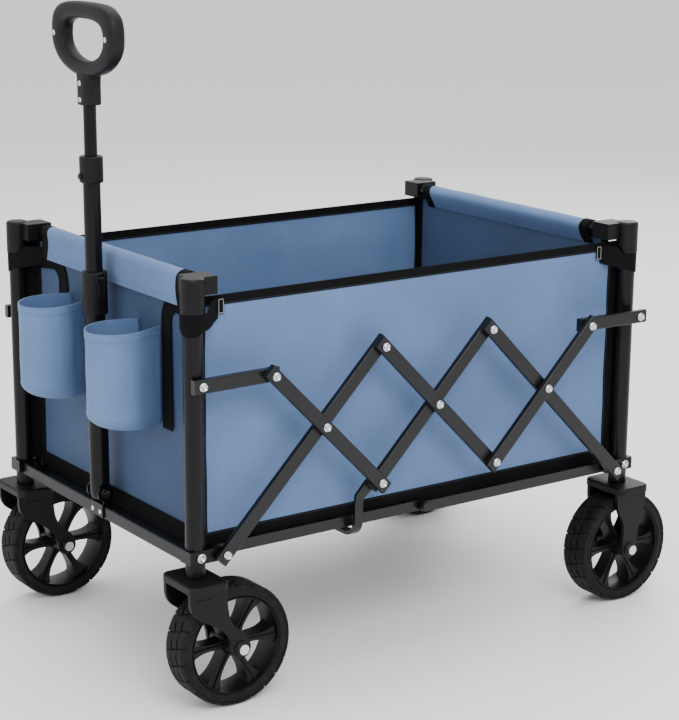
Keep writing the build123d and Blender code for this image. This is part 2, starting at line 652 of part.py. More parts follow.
def clamp_lever():
    y = -CLAMP_RADIUS - 3
    lever = block(
        (-LEVER_HALF, LEVER_HALF),
        (y - LEVER_THICKNESS / 2, y + LEVER_THICKNESS / 2),
        (LEVER_PIVOT - LEVER_LENGTH, LEVER_PIVOT),
    )
    lever += Pos(0, y, LEVER_PIVOT) * Rot(0, 90, 0) * Cylinder(LEVER_THICKNESS / 2, 2 * LEVER_HALF)
    lever += Pos(0, y, LEVER_PIVOT) * Rot(0, 90, 0) * Cylinder(1.5, 2 * LEVER_HALF + 6)
    return on_handle(lever)


def middle_tube():
    return on_handle(up_tube(MIDDLE_RADIUS, INNER_RADIUS + GAP, MIDDLE_START, MIDDLE_END))


def upper_collar():
    collar = Pos(0, 0, (COLLAR_START + COLLAR_END) / 2)
    collar = collar * Cylinder(COLLAR_RADIUS, COLLAR_END - COLLAR_START)
    collar = fillet(collar.edges().filter_by(GeomType.CIRCLE), 2.5)
    reach = (COLLAR_START + MIDDLE_END) / 2
    collar -= Pos(0, 0, reach - 1) * Cylinder(MIDDLE_RADIUS + RUNNING, MIDDLE_END - COLLAR_START + 2 + 2 * GAP)
    collar -= Pos(0, 0, COLLAR_END - 10) * Cylinder(INNER_RADIUS + GAP, 2 * (COLLAR_END - MIDDLE_END) + 4)
    well = Pos(-COLLAR_RADIUS, 0, BUTTON_HEIGHT) * Rot(0, 90, 0)
    collar -= well * Cylinder(BUTTON_RADIUS + RUNNING, 2 * (COLLAR_RADIUS - MIDDLE_RADIUS - 0.2))
    return on_handle(collar)


def release_button():
    low = -COLLAR_RADIUS - BUTTON_PROUD
    high = -MIDDLE_RADIUS - 0.5 - BUTTON_PROUD
    button = Pos((low + high) / 2, 0, BUTTON_HEIGHT) * Rot(0, 90, 0) * Cylinder(BUTTON_RADIUS, high - low)
    button = fillet(button.edges().group_by(Axis.X)[0], 1)
    return on_handle(button)


def inner_tube():
    return on_handle(up_tube(INNER_RADIUS, INNER_RADIUS - INNER_WALL, INNER_START, INNER_END))


def ring_face(half, low, top, corner):
    """A flat-topped loop with a round bottom, seen along X."""
    shoulder = low + 0.6 * (top - low)
    bottom = ThreePointArc((-half, shoulder), (0, low), (half, shoulder))
    sides = Polyline((half, shoulder), (0.9 * half, top), (-0.9 * half, top), (-half, shoulder))
    face = make_face([bottom] + list(sides.edges()))
    return fillet(face.vertices(), corner)


def grip_half(side):
    """One moulded half of the grip ring and of the stem below it, split on the handle's mid plane."""
    outer = ring_face(GRIP_HALF, GRIP_LOW, GRIP_TOP, GRIP_CORNER)
    hole = ring_face(
        GRIP_HALF - GRIP_SIDE, GRIP_LOW + GRIP_BASE, GRIP_TOP - GRIP_BAR, GRIP_HOLE_CORNER
    )
    ring = extrude(Plane.YZ * (outer - hole), side * GRIP_THICKNESS / 2)
    face = ring.faces().sort_by(Axis.X)[0 if side < 0 else -1]
    ring = fillet(face.edges(), 7)
    stem = Pos(0, 0, (STEM_START + STEM_END + 8) / 2)
    stem = stem * Cylinder(GRIP_STEM_RADIUS, STEM_END + 8 - STEM_START)
    stem &= block(sorted((0, side * 60)), (-60, 60), (STEM_START - 10, STEM_END + 30))
    ring += stem
    ring -= Pos(0, 0, INNER_END / 2) * Cylinder(INNER_RADIUS + RUNNING, INNER_END + 2 * GAP)
    return on_handle(ring)


def main():
    os.makedirs("parts", exist_ok=True)
    ends = {"front": X_FRONT, "rear": X_REAR}
    for end, x in ends.items():
        for hand, y in (("left", -HALF_TRACK), ("right", HALF_TRACK)):
            save(f"{end}_{hand}_post", post(x, y, (LOW_Z, LINK_Z)))
            axle_x = x + (TRAIL if end == "front" else 0)
            save(f"{end}_{hand}_tyre", tyre(axle_x, y))
            save(f"{end}_{hand}_rim", rim(axle_x, y))
        save(f"{end}_post_caps", both_sides(cap(x)))
        save(f"{end}_top_tube", top_tube(x))
        save(f"{end}_bottom_tube", bottom_tube(x))
        save(f"{end}_pivot_brackets", both_sides(pivot_bracket(x)))
        save(f"{end}_wall", end_wall(x))
        save(f"{end}_links", both_sides(link(end == "front")))
        save(f"{end}_floor_rails", both_sides(floor_rail(end == "front")))
    save("front_frame_bolts", Compound(children=frame_bolts(X_FRONT) + [handle_pin()]))
    save("rear_frame_bolts", Compound(children=frame_bolts(X_REAR)))
    for hand, y in (("left", -HALF_TRACK), ("right", HALF_TRACK)):
        save(f"front_{hand}_caster_fork", fork(X_FRONT, y, TRAIL))
        save(f"front_{hand}_axle", axle(X_FRONT + TRAIL, y))
    save("rear_fixed_forks", both_sides(fork(X_REAR, -HALF_TRACK, 0)))
    save("rear_axles", both_sides(axle(X_REAR, -HALF_TRACK)))
    for letter, (number, pins) in BARS.items():
        save(f"scissor_bars_{letter}", both_sides(flat_bar(number, pins)))
    for letter, entries in scissor_rivets().items():
        save(f"scissor_rivets_{letter}", bar_rivets(entries))
    save("floor_bow", floor_bow())
    panel = side_panel()
    save("left_side_panel", panel)
    save("right_side_panel", mirror(panel, about=Plane.XZ))
    save("floor_panel", floor_panel())
    save("bottle_pockets", Compound(children=[bottle_pocket(-POCKET_Y), bottle_pocket(POCKET_Y)]))
    save("handle_bracket", handle_bracket())
    save("handle_lower_tube", lower_tube())
    save("handle_lower_clamp", lower_clamp())
    save("clamp_lever", clamp_lever())
    save("handle_middle_tube", middle_tube())
    save("handle_upper_collar", upper_collar())
    save("release_button", release_button())
    save("handle_inner_tube", inner_tube())
    save("grip_front_half", grip_half(-1))
    save("grip_back_half", grip_half(1))


main()
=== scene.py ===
import bpy
import bmesh
import json
import math
from mathutils import Matrix, Vector, noise


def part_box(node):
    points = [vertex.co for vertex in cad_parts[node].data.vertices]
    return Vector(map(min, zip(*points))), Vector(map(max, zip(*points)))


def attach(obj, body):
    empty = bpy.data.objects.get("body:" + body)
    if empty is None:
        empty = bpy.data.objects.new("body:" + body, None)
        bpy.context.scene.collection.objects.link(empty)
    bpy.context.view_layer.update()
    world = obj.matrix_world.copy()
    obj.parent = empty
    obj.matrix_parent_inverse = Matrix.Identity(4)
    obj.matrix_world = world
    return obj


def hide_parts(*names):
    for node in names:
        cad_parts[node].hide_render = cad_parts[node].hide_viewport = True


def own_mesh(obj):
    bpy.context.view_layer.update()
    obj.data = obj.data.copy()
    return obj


# Collapsible beach cart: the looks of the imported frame. Metres, same axes as the frame:
# -X is the handle end, +X the rear, -Y the left side, +Z up.

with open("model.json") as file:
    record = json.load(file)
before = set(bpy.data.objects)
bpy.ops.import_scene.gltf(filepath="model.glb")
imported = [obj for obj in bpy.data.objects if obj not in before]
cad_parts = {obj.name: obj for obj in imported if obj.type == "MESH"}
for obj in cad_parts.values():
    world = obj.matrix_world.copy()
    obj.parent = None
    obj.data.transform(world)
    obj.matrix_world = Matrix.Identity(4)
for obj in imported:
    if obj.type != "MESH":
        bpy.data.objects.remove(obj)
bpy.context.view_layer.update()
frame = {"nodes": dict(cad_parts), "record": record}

MM = 0.001
WELD = 0.001 * MM  # corners nearer than this are one
SIDES = {"left": -1, "right": 1}
ENDS = {"front": 1, "rear": -1}  # the way from the posts into the cart, along X


def middle(node):
    low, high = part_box(node)
    return (Vector(low) + Vector(high)) / 2


BEHAVIOUR = frame["record"]["behaviour"]
BODY_OF = {node: body for body, nodes in BEHAVIOUR["bodies"].items() for node in nodes}
JOINTS = {joint["name"]: joint for joint in BEHAVIOUR["joints"]}

POST_X = {end: middle(f"{end}_left_post").x for end in ENDS}
POST_Y = middle("front_right_post").y
POST_RADIUS = (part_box("front_left_post")[1][0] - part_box("front_left_post")[0][0]) / 2
CAP_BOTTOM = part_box("front_post_caps")[0][2]
PANEL_LOW = Vector(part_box("left_side_panel")[0])
PANEL_HIGH = Vector(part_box("left_side_panel")[1])
TUBE_LOW, TUBE_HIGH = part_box("front_top_tube")
TOP_TUBE_Z = (TUBE_LOW[2] + TUBE_HIGH[2]) / 2
TOP_TUBE_RADIUS = (TUBE_HIGH[2] - TUBE_LOW[2]) / 2
TOP_TUBE_SET_BACK = (TUBE_LOW[0] + TUBE_HIGH[0]) / 2 - POST_X["front"]
WALL_LOW, WALL_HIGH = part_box("front_wall")
WALL_HALF = WALL_HIGH[1]
WALL_OFFSET = 22.6 * MM  # front face of an end wall, inwards of the posts
WALL_BOTTOM = WALL_LOW[2]
HANDLE_PIVOT = Vector(JOINTS["handle_pivot"]["pos_m"])
HANDLE_UP = Vector(JOINTS["grip_tube_slide"]["axis"])


# ---- materials ----
def add_node(tree, kind, inputs=None, **settings):
    """A node with its settings. An input is given a value, or another node's output to be linked."""
    made = tree.nodes.new(kind)
    for key, value in settings.items():
        setattr(made, key, value)
    for key, value in (inputs or {}).items():
        if isinstance(value, bpy.types.NodeSocket):
            tree.links.new(value, made.inputs[key])
        else:
            made.inputs[key].default_value = value
    return made


class Shader:
    """One principled material, made node by node."""

    def __init__(self, name):
        self.material = bpy.data.materials.new(name)
        self.material.use_nodes = True
        self.tree = self.material.node_tree
        self.shader = self.tree.nodes["Principled BSDF"]
        self.place = self.tree.nodes.new("ShaderNodeTexCoord")

    def node(self, kind, inputs=None, **settings):
        return add_node(self.tree, kind, inputs, **settings)

    def feed(self, socket, value):
        """Gives a socket a link, a colour or a number."""
        if isinstance(value, bpy.types.NodeSocket):
            self.tree.links.new(value, socket)
        else:
            socket.default_value = (*value, 1) if isinstance(value, tuple) else value

    def noise(self, scale, detail, vector=None):
        vector = vector or self.place.outputs["Object"]
        inputs = {"Vector": vector, "Scale": scale, "Detail": detail, "Roughness": 0.55}
        return self.node("ShaderNodeTexNoise", inputs).outputs["Fac"]

    def ramp(self, value, low, high, low_out=0.0, high_out=1.0):
        inputs = {"Value": value, "From Min": low, "From Max": high}
        inputs.update({"To Min": low_out, "To Max": high_out})
        return self.node("ShaderNodeMapRange", inputs).outputs["Result"]

    def math(self, operation, a, b=0.0):
        return self.node("ShaderNodeMath", {0: a, 1: b}, operation=operation).outputs[0]

    def colour(self, factor, a, b):
        made = self.node("ShaderNodeMix", data_type="RGBA")
        for name, kind, value in (("Factor", "VALUE", factor), ("A", "RGBA", a), ("B", "RGBA", b)):
            socket = [s for s in made.inputs if s.name == name and s.type == kind][0]
            self.feed(socket, value)
        return [s for s in made.outputs if s.type == "RGBA"][0]

    def set(self, **values):
        for key, value in values.items():
            self.feed(self.shader.inputs[key.replace("_", " ")], value)
        return self

    def bump(self, height, distance, strength):
        inputs = {"Height": height, "Distance": distance, "Strength": strength}
        self.set(Normal=self.node("ShaderNodeBump", inputs).outputs["Normal"])
        return self.material


def powder_coat(name, base, gloss):
    """Satin black paint on tube, with a fine orange peel and slightly rubbed patches."""
    s = Shader(name)
    patches = s.noise(22.0, 3.0)
    fine = s.noise(900.0, 2.0)
    s.set(Base_Color=s.colour(s.ramp(patches, 0.4, 0.75), base, tuple(c * 1.5 for c in base)))
    s.set(Roughness=s.ramp(patches, 0.3, 0.7, 0.24, 0.34), Specular_IOR_Level=gloss)
    return s.bump(fine, 0.06 * MM, 0.6)


def moulded_plastic(name, base, rough):
    """Black moulded plastic with a fine spark-eroded grain."""
    s = Shader(name)
    grain = s.noise(1400.0, 2.0)
    cloud = s.noise(30.0, 3.0)
    s.set(Base_Color=s.colour(s.ramp(cloud, 0.35, 0.7), base, tuple(c * 1.35 for c in base)))
    s.set(Roughness=s.ramp(grain, 0.3, 0.7, rough - 0.06, rough + 0.08), Specular_IOR_Level=0.18)
    return s.bump(grain, 0.12 * MM, 0.7)


def tread_rubber():
    s = Shader("tread_rubber")
    dust = s.noise(60.0, 5.0)
    grain = s.noise(700.0, 3.0)
    s.set(Base_Color=s.colour(s.ramp(dust, 0.45, 0.8), (0.005, 0.005, 0.0055), (0.012, 0.0118, 0.0115)))
    s.set(Roughness=s.ramp(grain, 0.3, 0.7, 0.58, 0.74), Specular_IOR_Level=0.15)
    return s.bump(grain, 0.2 * MM, 0.6)


def zinc(name, rough):
    s = Shader(name)
    spangle = s.noise(260.0, 3.0)
    s.set(Metallic=1.0, Base_Color=s.colour(spangle, (0.52, 0.53, 0.55), (0.70, 0.71, 0.73)))
    s.set(Roughness=s.ramp(spangle, 0.3, 0.7, rough, rough + 0.12))
    return s.bump(spangle, 0.04 * MM, 0.5)


def woven(name, dark, light, yarn, rough):
    """Plain weave on the piece's own UV map, whose unit is a metre. Yarn is one thread's pitch."""
    s = Shader(name)
    split = s.node("ShaderNodeSeparateXYZ", {0: s.place.outputs["UV"]})
    turns = math.pi / yarn
    across = s.math("SINE", s.math("MULTIPLY", split.outputs["X"], turns))
    along = s.math("SINE", s.math("MULTIPLY", split.outputs["Y"], turns))
    weave = s.math("MULTIPLY", across, along)
    cloud = s.noise(9.0, 4.0)
    slub = s.noise(1 / (yarn * 9), 3.0, s.place.outputs["UV"])
    tone = s.math("ADD", s.ramp(cloud, 0.3, 0.7, 0.15, 0.85), s.ramp(slub, 0.3, 0.7, -0.12, 0.12))
    tone = s.math("ADD", tone, s.math("MULTIPLY", weave, 0.10))
    s.set(Base_Color=s.colour(tone, dark, light))
    s.set(Roughness=s.ramp(slub, 0.3, 0.7, rough - 0.05, rough + 0.05))
    s.set(Sheen_Weight=0.04, Sheen_Roughness=0.45, Specular_IOR_Level=0.18)
    return s.bump(s.math("ABSOLUTE", weave), 0.12 * MM, 0.8)


def webbing():
    """Black binding tape with ribs across it, on the piece's UV map."""
    s = Shader("black_webbing")
    split = s.node("ShaderNodeSeparateXYZ", {0: s.place.outputs["UV"]})
    rib = s.math("SINE", s.math("MULTIPLY", split.outputs["X"], 2 * math.pi / RIB_PITCH))
    fuzz = s.noise(500.0, 3.0)
    s.set(Base_Color=s.colour(s.ramp(fuzz, 0.35, 0.7), (0.0025, 0.0025, 0.003), (0.006, 0.006, 0.0066)))
    s.set(Roughness=s.ramp(fuzz, 0.3, 0.7, 0.75, 0.88), Specular_IOR_Level=0.08)
    return s.bump(rib, 0.15 * MM, 0.8)


RIB_PITCH = 1.3 * MM  # of the webbing
BLUE_DARK = (0.088, 0.150, 0.288)
BLUE_LIGHT = (0.120, 0.196, 0.358)
# Painted shade: the end walls' blue weave is darker than the sides' to stand in for the shade the walls hang
# in.
WALL_PAINTED_SHADE_DARK = (0.031, 0.056, 0.112)
WALL_PAINTED_SHADE_LIGHT = (0.043, 0.075, 0.145)
MOULDED_BLACK = (0.003, 0.003, 0.0033)
YARN = 0.7 * MM
THREAD = 0.3 * MM
FRAME_PAINT = powder_coat("frame_paint", (0.0025, 0.0025, 0.0028), 0.18)
BAR_PAINT = powder_coat("bar_paint", (0.0035, 0.0035, 0.004), 0.32)
PLASTIC = moulded_plastic("moulded_plastic", MOULDED_BLACK, 0.44)
RIM_PLASTIC = moulded_plastic("rim_plastic", MOULDED_BLACK, 0.40)
GRIP_PLASTIC = moulded_plastic("grip_plastic", (0.006, 0.006, 0.0066), 0.50)
RUBBER = tread_rubber()
ZINC = zinc("rivet_zinc", 0.16)
STEEL = zinc("axle_steel", 0.24)
TUB_CLOTH = woven("tub_cloth", BLUE_DARK, BLUE_LIGHT, YARN, 0.55)
# Painted shade: the end walls get a darker copy of the tub cloth.
WALL_CLOTH_PAINTED_SHADE = woven("end_wall_cloth_painted_shade", WALL_PAINTED_SHADE_DARK, WALL_PAINTED_SHADE_LIGHT, YARN, 0.55)
FLOOR_CLOTH = woven("floor_cloth", (0.014, 0.015, 0.017), (0.026, 0.027, 0.030), 0.9 * MM, 0.72)
WEBBING = webbing()
THREAD_BLUE = woven("blue_thread", (0.10, 0.16, 0.25), (0.14, 0.21, 0.32), THREAD, 0.6)
THREAD_PALE = woven("pale_thread", (0.30, 0.30, 0.31), (0.42, 0.42, 0.43), THREAD, 0.6)
THREAD_BLACK = woven("black_thread", (0.030, 0.030, 0.032), (0.050, 0.050, 0.052), THREAD, 0.6)

CAD_FINISH = {
    "frame_tube": FRAME_PAINT,
    "bar_metal": BAR_PAINT,
    "plastic": PLASTIC,
    "rim_plastic": RIM_PLASTIC,
    "grip_plastic": GRIP_PLASTIC,
    "tread_rubber": RUBBER,
    "rivet_zinc": ZINC,
    "blue_fabric": TUB_CLOTH,
}
for part in frame["record"]["subparts"]:
    piece = frame["nodes"][part["node"]]
    finish = STEEL if "axle" in part["node"] else CAD_FINISH[part["material_slot"]]
    for material_slot in piece.material_slots:
        material_slot.link = "OBJECT"
        material_slot.material = finish


# ---- making pieces ----
def in_scene(name, data):
    made = bpy.data.objects.new(name, data)
    bpy.context.scene.collection.objects.link(made)
    return made


def from_bmesh(name, maker, materials):
    """An object at the origin from a bmesh, which is used up."""
    mesh = bpy.data.meshes.new(name)
    maker.to_mesh(mesh)
    maker.free()
    for material in materials:
        mesh.materials.append(material)
    return in_scene(name, mesh)


def piece_from(name, maker, material, sharp=38.0, weld=True):
    """A piece from a bmesh, with its normals outwards and its hard edges marked."""
    if weld:
        bmesh.ops.remove_doubles(maker, verts=maker.verts, dist=WELD)
    bmesh.ops.recalc_face_normals(maker, faces=maker.faces)
    for edge in maker.edges:
        edge.smooth = len(edge.link_faces) == 2 and edge.calc_face_angle(0) < math.radians(sharp)
    for face in maker.faces:
        face.smooth = True
    return from_bmesh(name, maker, [material])


def apply_modifiers(made):
    """Turns an object with modifiers into a plain mesh at the origin."""
    bpy.context.view_layer.update()
    evaluated = made.evaluated_get(bpy.context.evaluated_depsgraph_get())
    mesh = bpy.data.meshes.new_from_object(evaluated)
    made.modifiers.clear()
    made.data = mesh
    return made


def bevelled(made, width):
    modifier = made.modifiers.new("edge", "BEVEL")
    modifier.width = width
    modifier.segments = 2
    modifier.limit_method = "ANGLE"
    modifier.angle_limit = math.radians(40)
    return apply_modifiers(made)


def carried(made, body, slot_name, *nodes):
    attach(made, body)
    if nodes:
        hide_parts(*nodes)
    return made


def angles(count):
    """A full turn in equal steps."""
    return [2 * math.pi * k / count for k in range(count)]


def heading(path, k):
    """The direction of a path at its point k."""
    return (path[min(k + 1, len(path) - 1)] - path[max(k - 1, 0)]).normalized()


def skin(maker, rings, around=False):
    """Faces between rings of corners. The last ring meets the first, or else both ends are closed."""
    count = len(rings[0])
    following = rings[1:] + rings[:1] if around else rings[1:]
    for here, there in zip(rings, following):
        for j in range(count):
            maker.faces.new([here[j], here[(j + 1) % count], there[(j + 1) % count], there[j]])
    if not around:
        maker.faces.new(rings[0])
        maker.faces.new(rings[-1])


def block(centre, size):
    maker = bmesh.new()
    spot = Matrix.Translation(centre) @ Matrix.Diagonal((*size, 1))
    bmesh.ops.create_cube(maker, size=1.0, matrix=spot)
    return maker


def cloth(name, point, columns, rows, size, thickness, material):
    """A sheet with two faces. point(u, v) gives a place and the way outwards for u, v from 0 to 1."""
    maker = bmesh.new()
    uv = maker.loops.layers.uv.new("cloth")
    grids = []
    for face_side in (0.5, -0.5):
        grid = []
        for i in range(columns + 1):
            column = []
            for j in range(rows + 1):
                place, out = point(i / columns, j / rows)
                column.append(maker.verts.new(place + out * thickness * face_side))
            grid.append(column)
        grids.append(grid)

    def quad(corners, uvs):
        face = maker.faces.new(corners)
        for loop, spot in zip(face.loops, uvs):
            loop[uv].uv = spot

    width, height = size
    for grid, order in zip(grids, (1, -1)):
        for i in range(columns):
            for j in range(rows):
                spots = [(i, j), (i + 1, j), (i + 1, j + 1), (i, j + 1)][::order]
                flat = [(a / columns * width, b / rows * height) for a, b in spots]
                quad([grid[a][b] for a, b in spots], flat)
    rim = [(i, 0) for i in range(columns)]
    rim += [(columns, j) for j in range(rows)]
    rim += [(i, rows) for i in range(columns, 0, -1)]
    rim += [(0, j) for j in range(rows, 0, -1)]
    for k, (a, b) in enumerate(rim):
        c, d = rim[(k + 1) % len(rim)]
        corners = [grids[0][a][b], grids[1][a][b], grids[1][c][d], grids[0][c][d]]
        along = (a + c) / 2 / columns * width
        up = (b + d) / 2 / rows * height
        quad(corners, [(along, up), (along + thickness, up), (along + thickness, up), (along, up)])
    return piece_from(name, maker, material, sharp=50.0, weld=False)


def path_length(path):
    return sum((b - a).length for a, b in zip(path, path[1:]))


def flat_size(width, height):
    """A sheet's flat size to the millimetre."""
    return round(width, 3), round(height, 3)


def ribbon(name, path, outs, width_ways, half_widths, thickness, material):
    """A flat tape along a path: outs is the way its face looks and width_ways the way across it."""

    def point(u, v):
        k = round(u * (len(path) - 1))
        return path[k] + width_ways[k] * half_widths[k] * (2 * v - 1), outs[k]

    size = (path_length(path), 2 * max(half_widths))
    return cloth(name, point, len(path) - 1, 4, size, thickness, material)


def joined(name, pieces):
    """One object from several made pieces that share a material."""
    maker = bmesh.new()
    for made in pieces:
        maker.from_mesh(made.data)
    one = from_bmesh(name, maker, pieces[0].data.materials)
    for made in pieces:
        bpy.data.objects.remove(made)
    return one


def node_tree(name, **inputs):
    """A Geometry Nodes tree with a mesh input and named inputs, each of a kind."""
    tree = bpy.data.node_groups.new(name, "GeometryNodeTree")
    for title, kind in {"Geometry": "Geometry", **inputs}.items():
        tree.interface.new_socket(title, in_out="INPUT", socket_type=f"NodeSocket{kind}")
    tree.interface.new_socket("Geometry", in_out="OUTPUT", socket_type="NodeSocketGeometry")
    return tree, tree.nodes.new("NodeGroupInput").outputs


def place_copies(tree, entry, points, shape, turn, centre=None):
    """Ends a tree: a copy on each point, turned, made real and given the finish."""
    links = {"Points": points, "Instance": shape, "Rotation": turn}
    made = add_node(tree, "GeometryNodeInstanceOnPoints", links)
    if centre:
        links = {"Geometry": made.outputs[0], "Translation": centre}
        made = add_node(tree, "GeometryNodeTransform", links)
    made = add_node(tree, "GeometryNodeRealizeInstances", {0: made.outputs[0]})
    made = add_node(tree, "GeometryNodeSetMaterial", {0: made.outputs[0], "Material": entry["Finish"]})
    add_node(tree, "NodeGroupOutput", {0: made.outputs[0]})
    return tree


def shape_of(tree, entry):
    return add_node(tree, "GeometryNodeObjectInfo", {"Object": entry["Shape"]}).outputs["Geometry"]


def along_z(tree, way):
    """The turn that brings Z onto a direction."""
    return add_node(tree, "FunctionNodeAlignRotationToVector", {"Vector": way}, axis="Z").outputs[0]


def stitch_tree():
    """Short threads laid end to end along every edge of the input."""
    tree, entry = node_tree("stitch_row", Pitch="Float", Stitch="Float", Thread="Float", Finish="Material")
    curve = add_node(tree, "GeometryNodeMeshToCurve", {"Mesh": entry["Geometry"]})
    links = {"Curve": curve.outputs[0], "Length": entry["Pitch"]}
    row = add_node(tree, "GeometryNodeResampleCurve", links, mode="LENGTH")
    tangent = add_node(tree, "GeometryNodeInputTangent")
    links = {"Vertices": 6, "Radius": entry["Thread"], "Depth": entry["Stitch"]}
    thread = add_node(tree, "GeometryNodeMeshCylinder", links)
    turn = along_z(tree, tangent.outputs[0])
    return place_copies(tree, entry, row.outputs[0], thread.outputs["Mesh"], turn)


def ring_tree():
    """Copies of one object turned in equal steps about an axle along Y."""
    tree, entry = node_tree("wheel_ring", Count="Int", Axle="Vector", Shape="Object", Finish="Material")
    points = add_node(tree, "GeometryNodePoints", {"Count": entry["Count"]})
    index = add_node(tree, "GeometryNodeInputIndex")
    step = add_node(tree, "ShaderNodeMath", {0: 2 * math.pi, 1: entry["Count"]}, operation="DIVIDE")
    links = {0: index.outputs[0], 1: step.outputs[0]}
    angle = add_node(tree, "ShaderNodeMath", links, operation="MULTIPLY")
    turn = add_node(tree, "ShaderNodeCombineXYZ", {"Y": angle.outputs[0]})
    shape = shape_of(tree, entry)
    return place_copies(tree, entry, points.outputs[0], shape, turn.outputs[0], entry["Axle"])


def scatter_tree():
    """One object on each point of the input, turned so that its Z follows the point's own direction."""
    tree, entry = node_tree("fixing_heads", Shape="Object", Finish="Material")
    kind = "GeometryNodeInputNamedAttribute"
    facing = add_node(tree, kind, {"Name": "facing"}, data_type="FLOAT_VECTOR")
    turn = along_z(tree, facing.outputs[0])
    return place_copies(tree, entry, entry["Geometry"], shape_of(tree, entry), turn)


TREES = {"stitches": stitch_tree(), "ring": ring_tree(), "heads": scatter_tree()}


def grown(name, mesh, tree, values):
    """An object from a seed mesh and a tree, converted to a plain mesh."""
    made = in_scene(name, mesh)
    modifier = made.modifiers.new("grow", "NODES")
    modifier.node_group = TREES[tree]
    for item in TREES[tree].interface.items_tree:
        if item.in_out == "INPUT" and item.name in values:
            modifier[item.identifier] = values[item.name]
    apply_modifiers(made)
    for polygon in made.data.polygons:
        polygon.use_smooth = False
    return made


def stitches(name, rows, thread=THREAD_BLACK, pitch=4.2 * MM, length=3.0 * MM, radius=0.33 * MM):
    """Rows of stitches; a row is a list of points."""
    vertices, edges = [], []
    for row in rows:
        vertices += row
        edges += [(k - 1, k) for k in range(len(vertices) - len(row) + 1, len(vertices))]
    mesh = bpy.data.meshes.new(name)
    mesh.from_pydata([tuple(v) for v in vertices], edges, [])
    values = {"Pitch": pitch, "Stitch": length, "Thread": radius, "Finish": thread}
    return grown(name, mesh, "stitches", values)


def heads(name, spots, shape):
    """A zinc fixing head on each (place, direction)."""
    mesh = bpy.data.meshes.new(name)
    mesh.from_pydata([tuple(place) for place, _ in spots], [], [])
    facing = mesh.attributes.new("facing", "FLOAT_VECTOR", "POINT")
    for k, (_, way) in enumerate(spots):
        facing.data[k].vector = way
    return grown(name, mesh, "heads", {"Shape": shape, "Finish": ZINC})


def lathe(profile, segments, centre):
    """A closed outline of (radius, along) turned about an axle along Y through the centre."""
    maker = bmesh.new()
    rings = []
    for angle in angles(segments):
        c, s = math.cos(angle), math.sin(angle)
        spots = [centre + Vector((radius * c, along, radius * s)) for radius, along in profile]
        rings.append([maker.verts.new(spot) for spot in spots])
    skin(maker, rings, around=True)
    return maker


def mirrored(outline):
    """The points of half an outline of (radius, along), then the same points on the other side."""
    return outline + [(radius, -along) for radius, along in reversed(outline)]


# ---- wheels ----
TYRE_LOW, TYRE_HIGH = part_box("front_left_tyre")
WHEEL_RADIUS = (TYRE_HIGH[2] - TYRE_LOW[2]) / 2
TYRE_HALF = (TYRE_HIGH[1] - TYRE_LOW[1]) / 2
RIM_RADIUS = 71.5 * MM
TREAD_DEPTH = 2.6 * MM
TREAD_COUNT = 22
TREAD_GAP = 0.07  # of half a pitch, left free at each end of a block
TREAD_SKEW = 0.10  # of half a pitch, the lean of a block's long sides
SHOULDER = 24.2  # half the tread's width, in millimetres as the next values
SHOULDER_FALL = 2.2
SHOULDER_CREST = 19.0
TREAD_BLOCKS = [  # start and end in half pitches, then the edges across the tread
    (-1.0, 1.0, (-SHOULDER,) * 5, (-10.5, -8.0, -5.5, -9.0, -10.5)),
    (-0.6, 1.4, (-8.6, -6.2, -3.4, -5.6, -8.4), (2.8, 6.0, 8.4, 5.4, 3.0)),
    (-0.2, 1.8, (4.9, 7.8, 10.4, 7.4, 5.0), (SHOULDER,) * 5),
]
# Half outlines of the wheel's turned parts, as (radius or a step from one, along the axle), in millimetres.
BEAD = [(0.0, 0.90), (2.5, 0.985), (5.0, 0.985), (6.0, 0.955)]  # out from the rim, share of half the width
SIDEWALL = [(5.5, 0.965), (1.8, 0.93), (0.0, 0.80)]  # in from the carcass, share of half the width
BARREL = [(0.05, -22.0), (1.2, -23.6), (2.4, -23.0), (3.0, -19.0), (4.6, -7.7)]  # in from the rim
HUB = [(6.1, -27.8), (12.5, -27.8), (14.6, -26.2), (16.0, -13.5), (17.5, -11.0)]
SPOKE_COUNT = 6


def tread_shape():
    """One pitch of the tread: two shoulder blocks and a zigzag block between them, curved to the tyre."""
    maker = bmesh.new()
    reach = math.pi / TREAD_COUNT
    top = WHEEL_RADIUS - 0.1 * MM
    foot = WHEEL_RADIUS - TREAD_DEPTH - 0.8 * MM

    def corner(radius, y, turn):
        return maker.verts.new((radius * math.cos(turn), y * MM, radius * math.sin(turn)))

    for start, end, low_edge, high_edge in TREAD_BLOCKS:
        stations = []
        for k, (low, high) in enumerate(zip(low_edge, high_edge)):
            share = k / (len(low_edge) - 1)
            angle = (start + TREAD_GAP + (end - start - 2 * TREAD_GAP) * share) * reach
            sides = []
            for y, tip in ((low, -1), (high, 1)):
                fall = SHOULDER_FALL * MM if abs(y) == SHOULDER else 0.0
                turn = angle + tip * TREAD_SKEW * reach
                sides.append((corner(top - fall, y, turn), corner(foot - fall, y, turn)))
            crest = (low + high) / 2
            if SHOULDER in (-low, high):
                crest = math.copysign(SHOULDER_CREST, crest)
            (low_top, low_foot), (high_top, high_foot) = sides
            peak = corner(WHEEL_RADIUS - 0.05 * MM, crest, angle)
            stations.append([low_top, peak, high_top, high_foot, low_foot])
        skin(maker, stations)
    return piece_from("tread_pitch", maker, RUBBER, sharp=30)


def spoke_shape():
    """One spoke with a rib along its middle, wide where it meets the barrel. Sizes in millimetres."""
    maker = bmesh.new()
    stations = []
    steps = 12
    for k in range(steps + 1):
        share = k / steps
        radius = 14 + share * 55.5
        half = 4.6 + 3.2 * math.exp(-share * 9) + 11.0 * share**5
        depth = 11.5 + 4.5 * share**3
        rib = depth + 2.2
        outline = [(-half, -depth), (-1.4, -depth), (-1.0, -rib), (1.0, -rib), (1.4, -depth)]
        outline += [(half, -depth), (half * 1.08, 0)]
        outline += [(-x, -y) for x, y in outline]
        stations.append([maker.verts.new(Vector((radius, y, x)) * MM) for x, y in outline])
    skin(maker, stations)
    return piece_from("spoke", maker, RIM_PLASTIC)


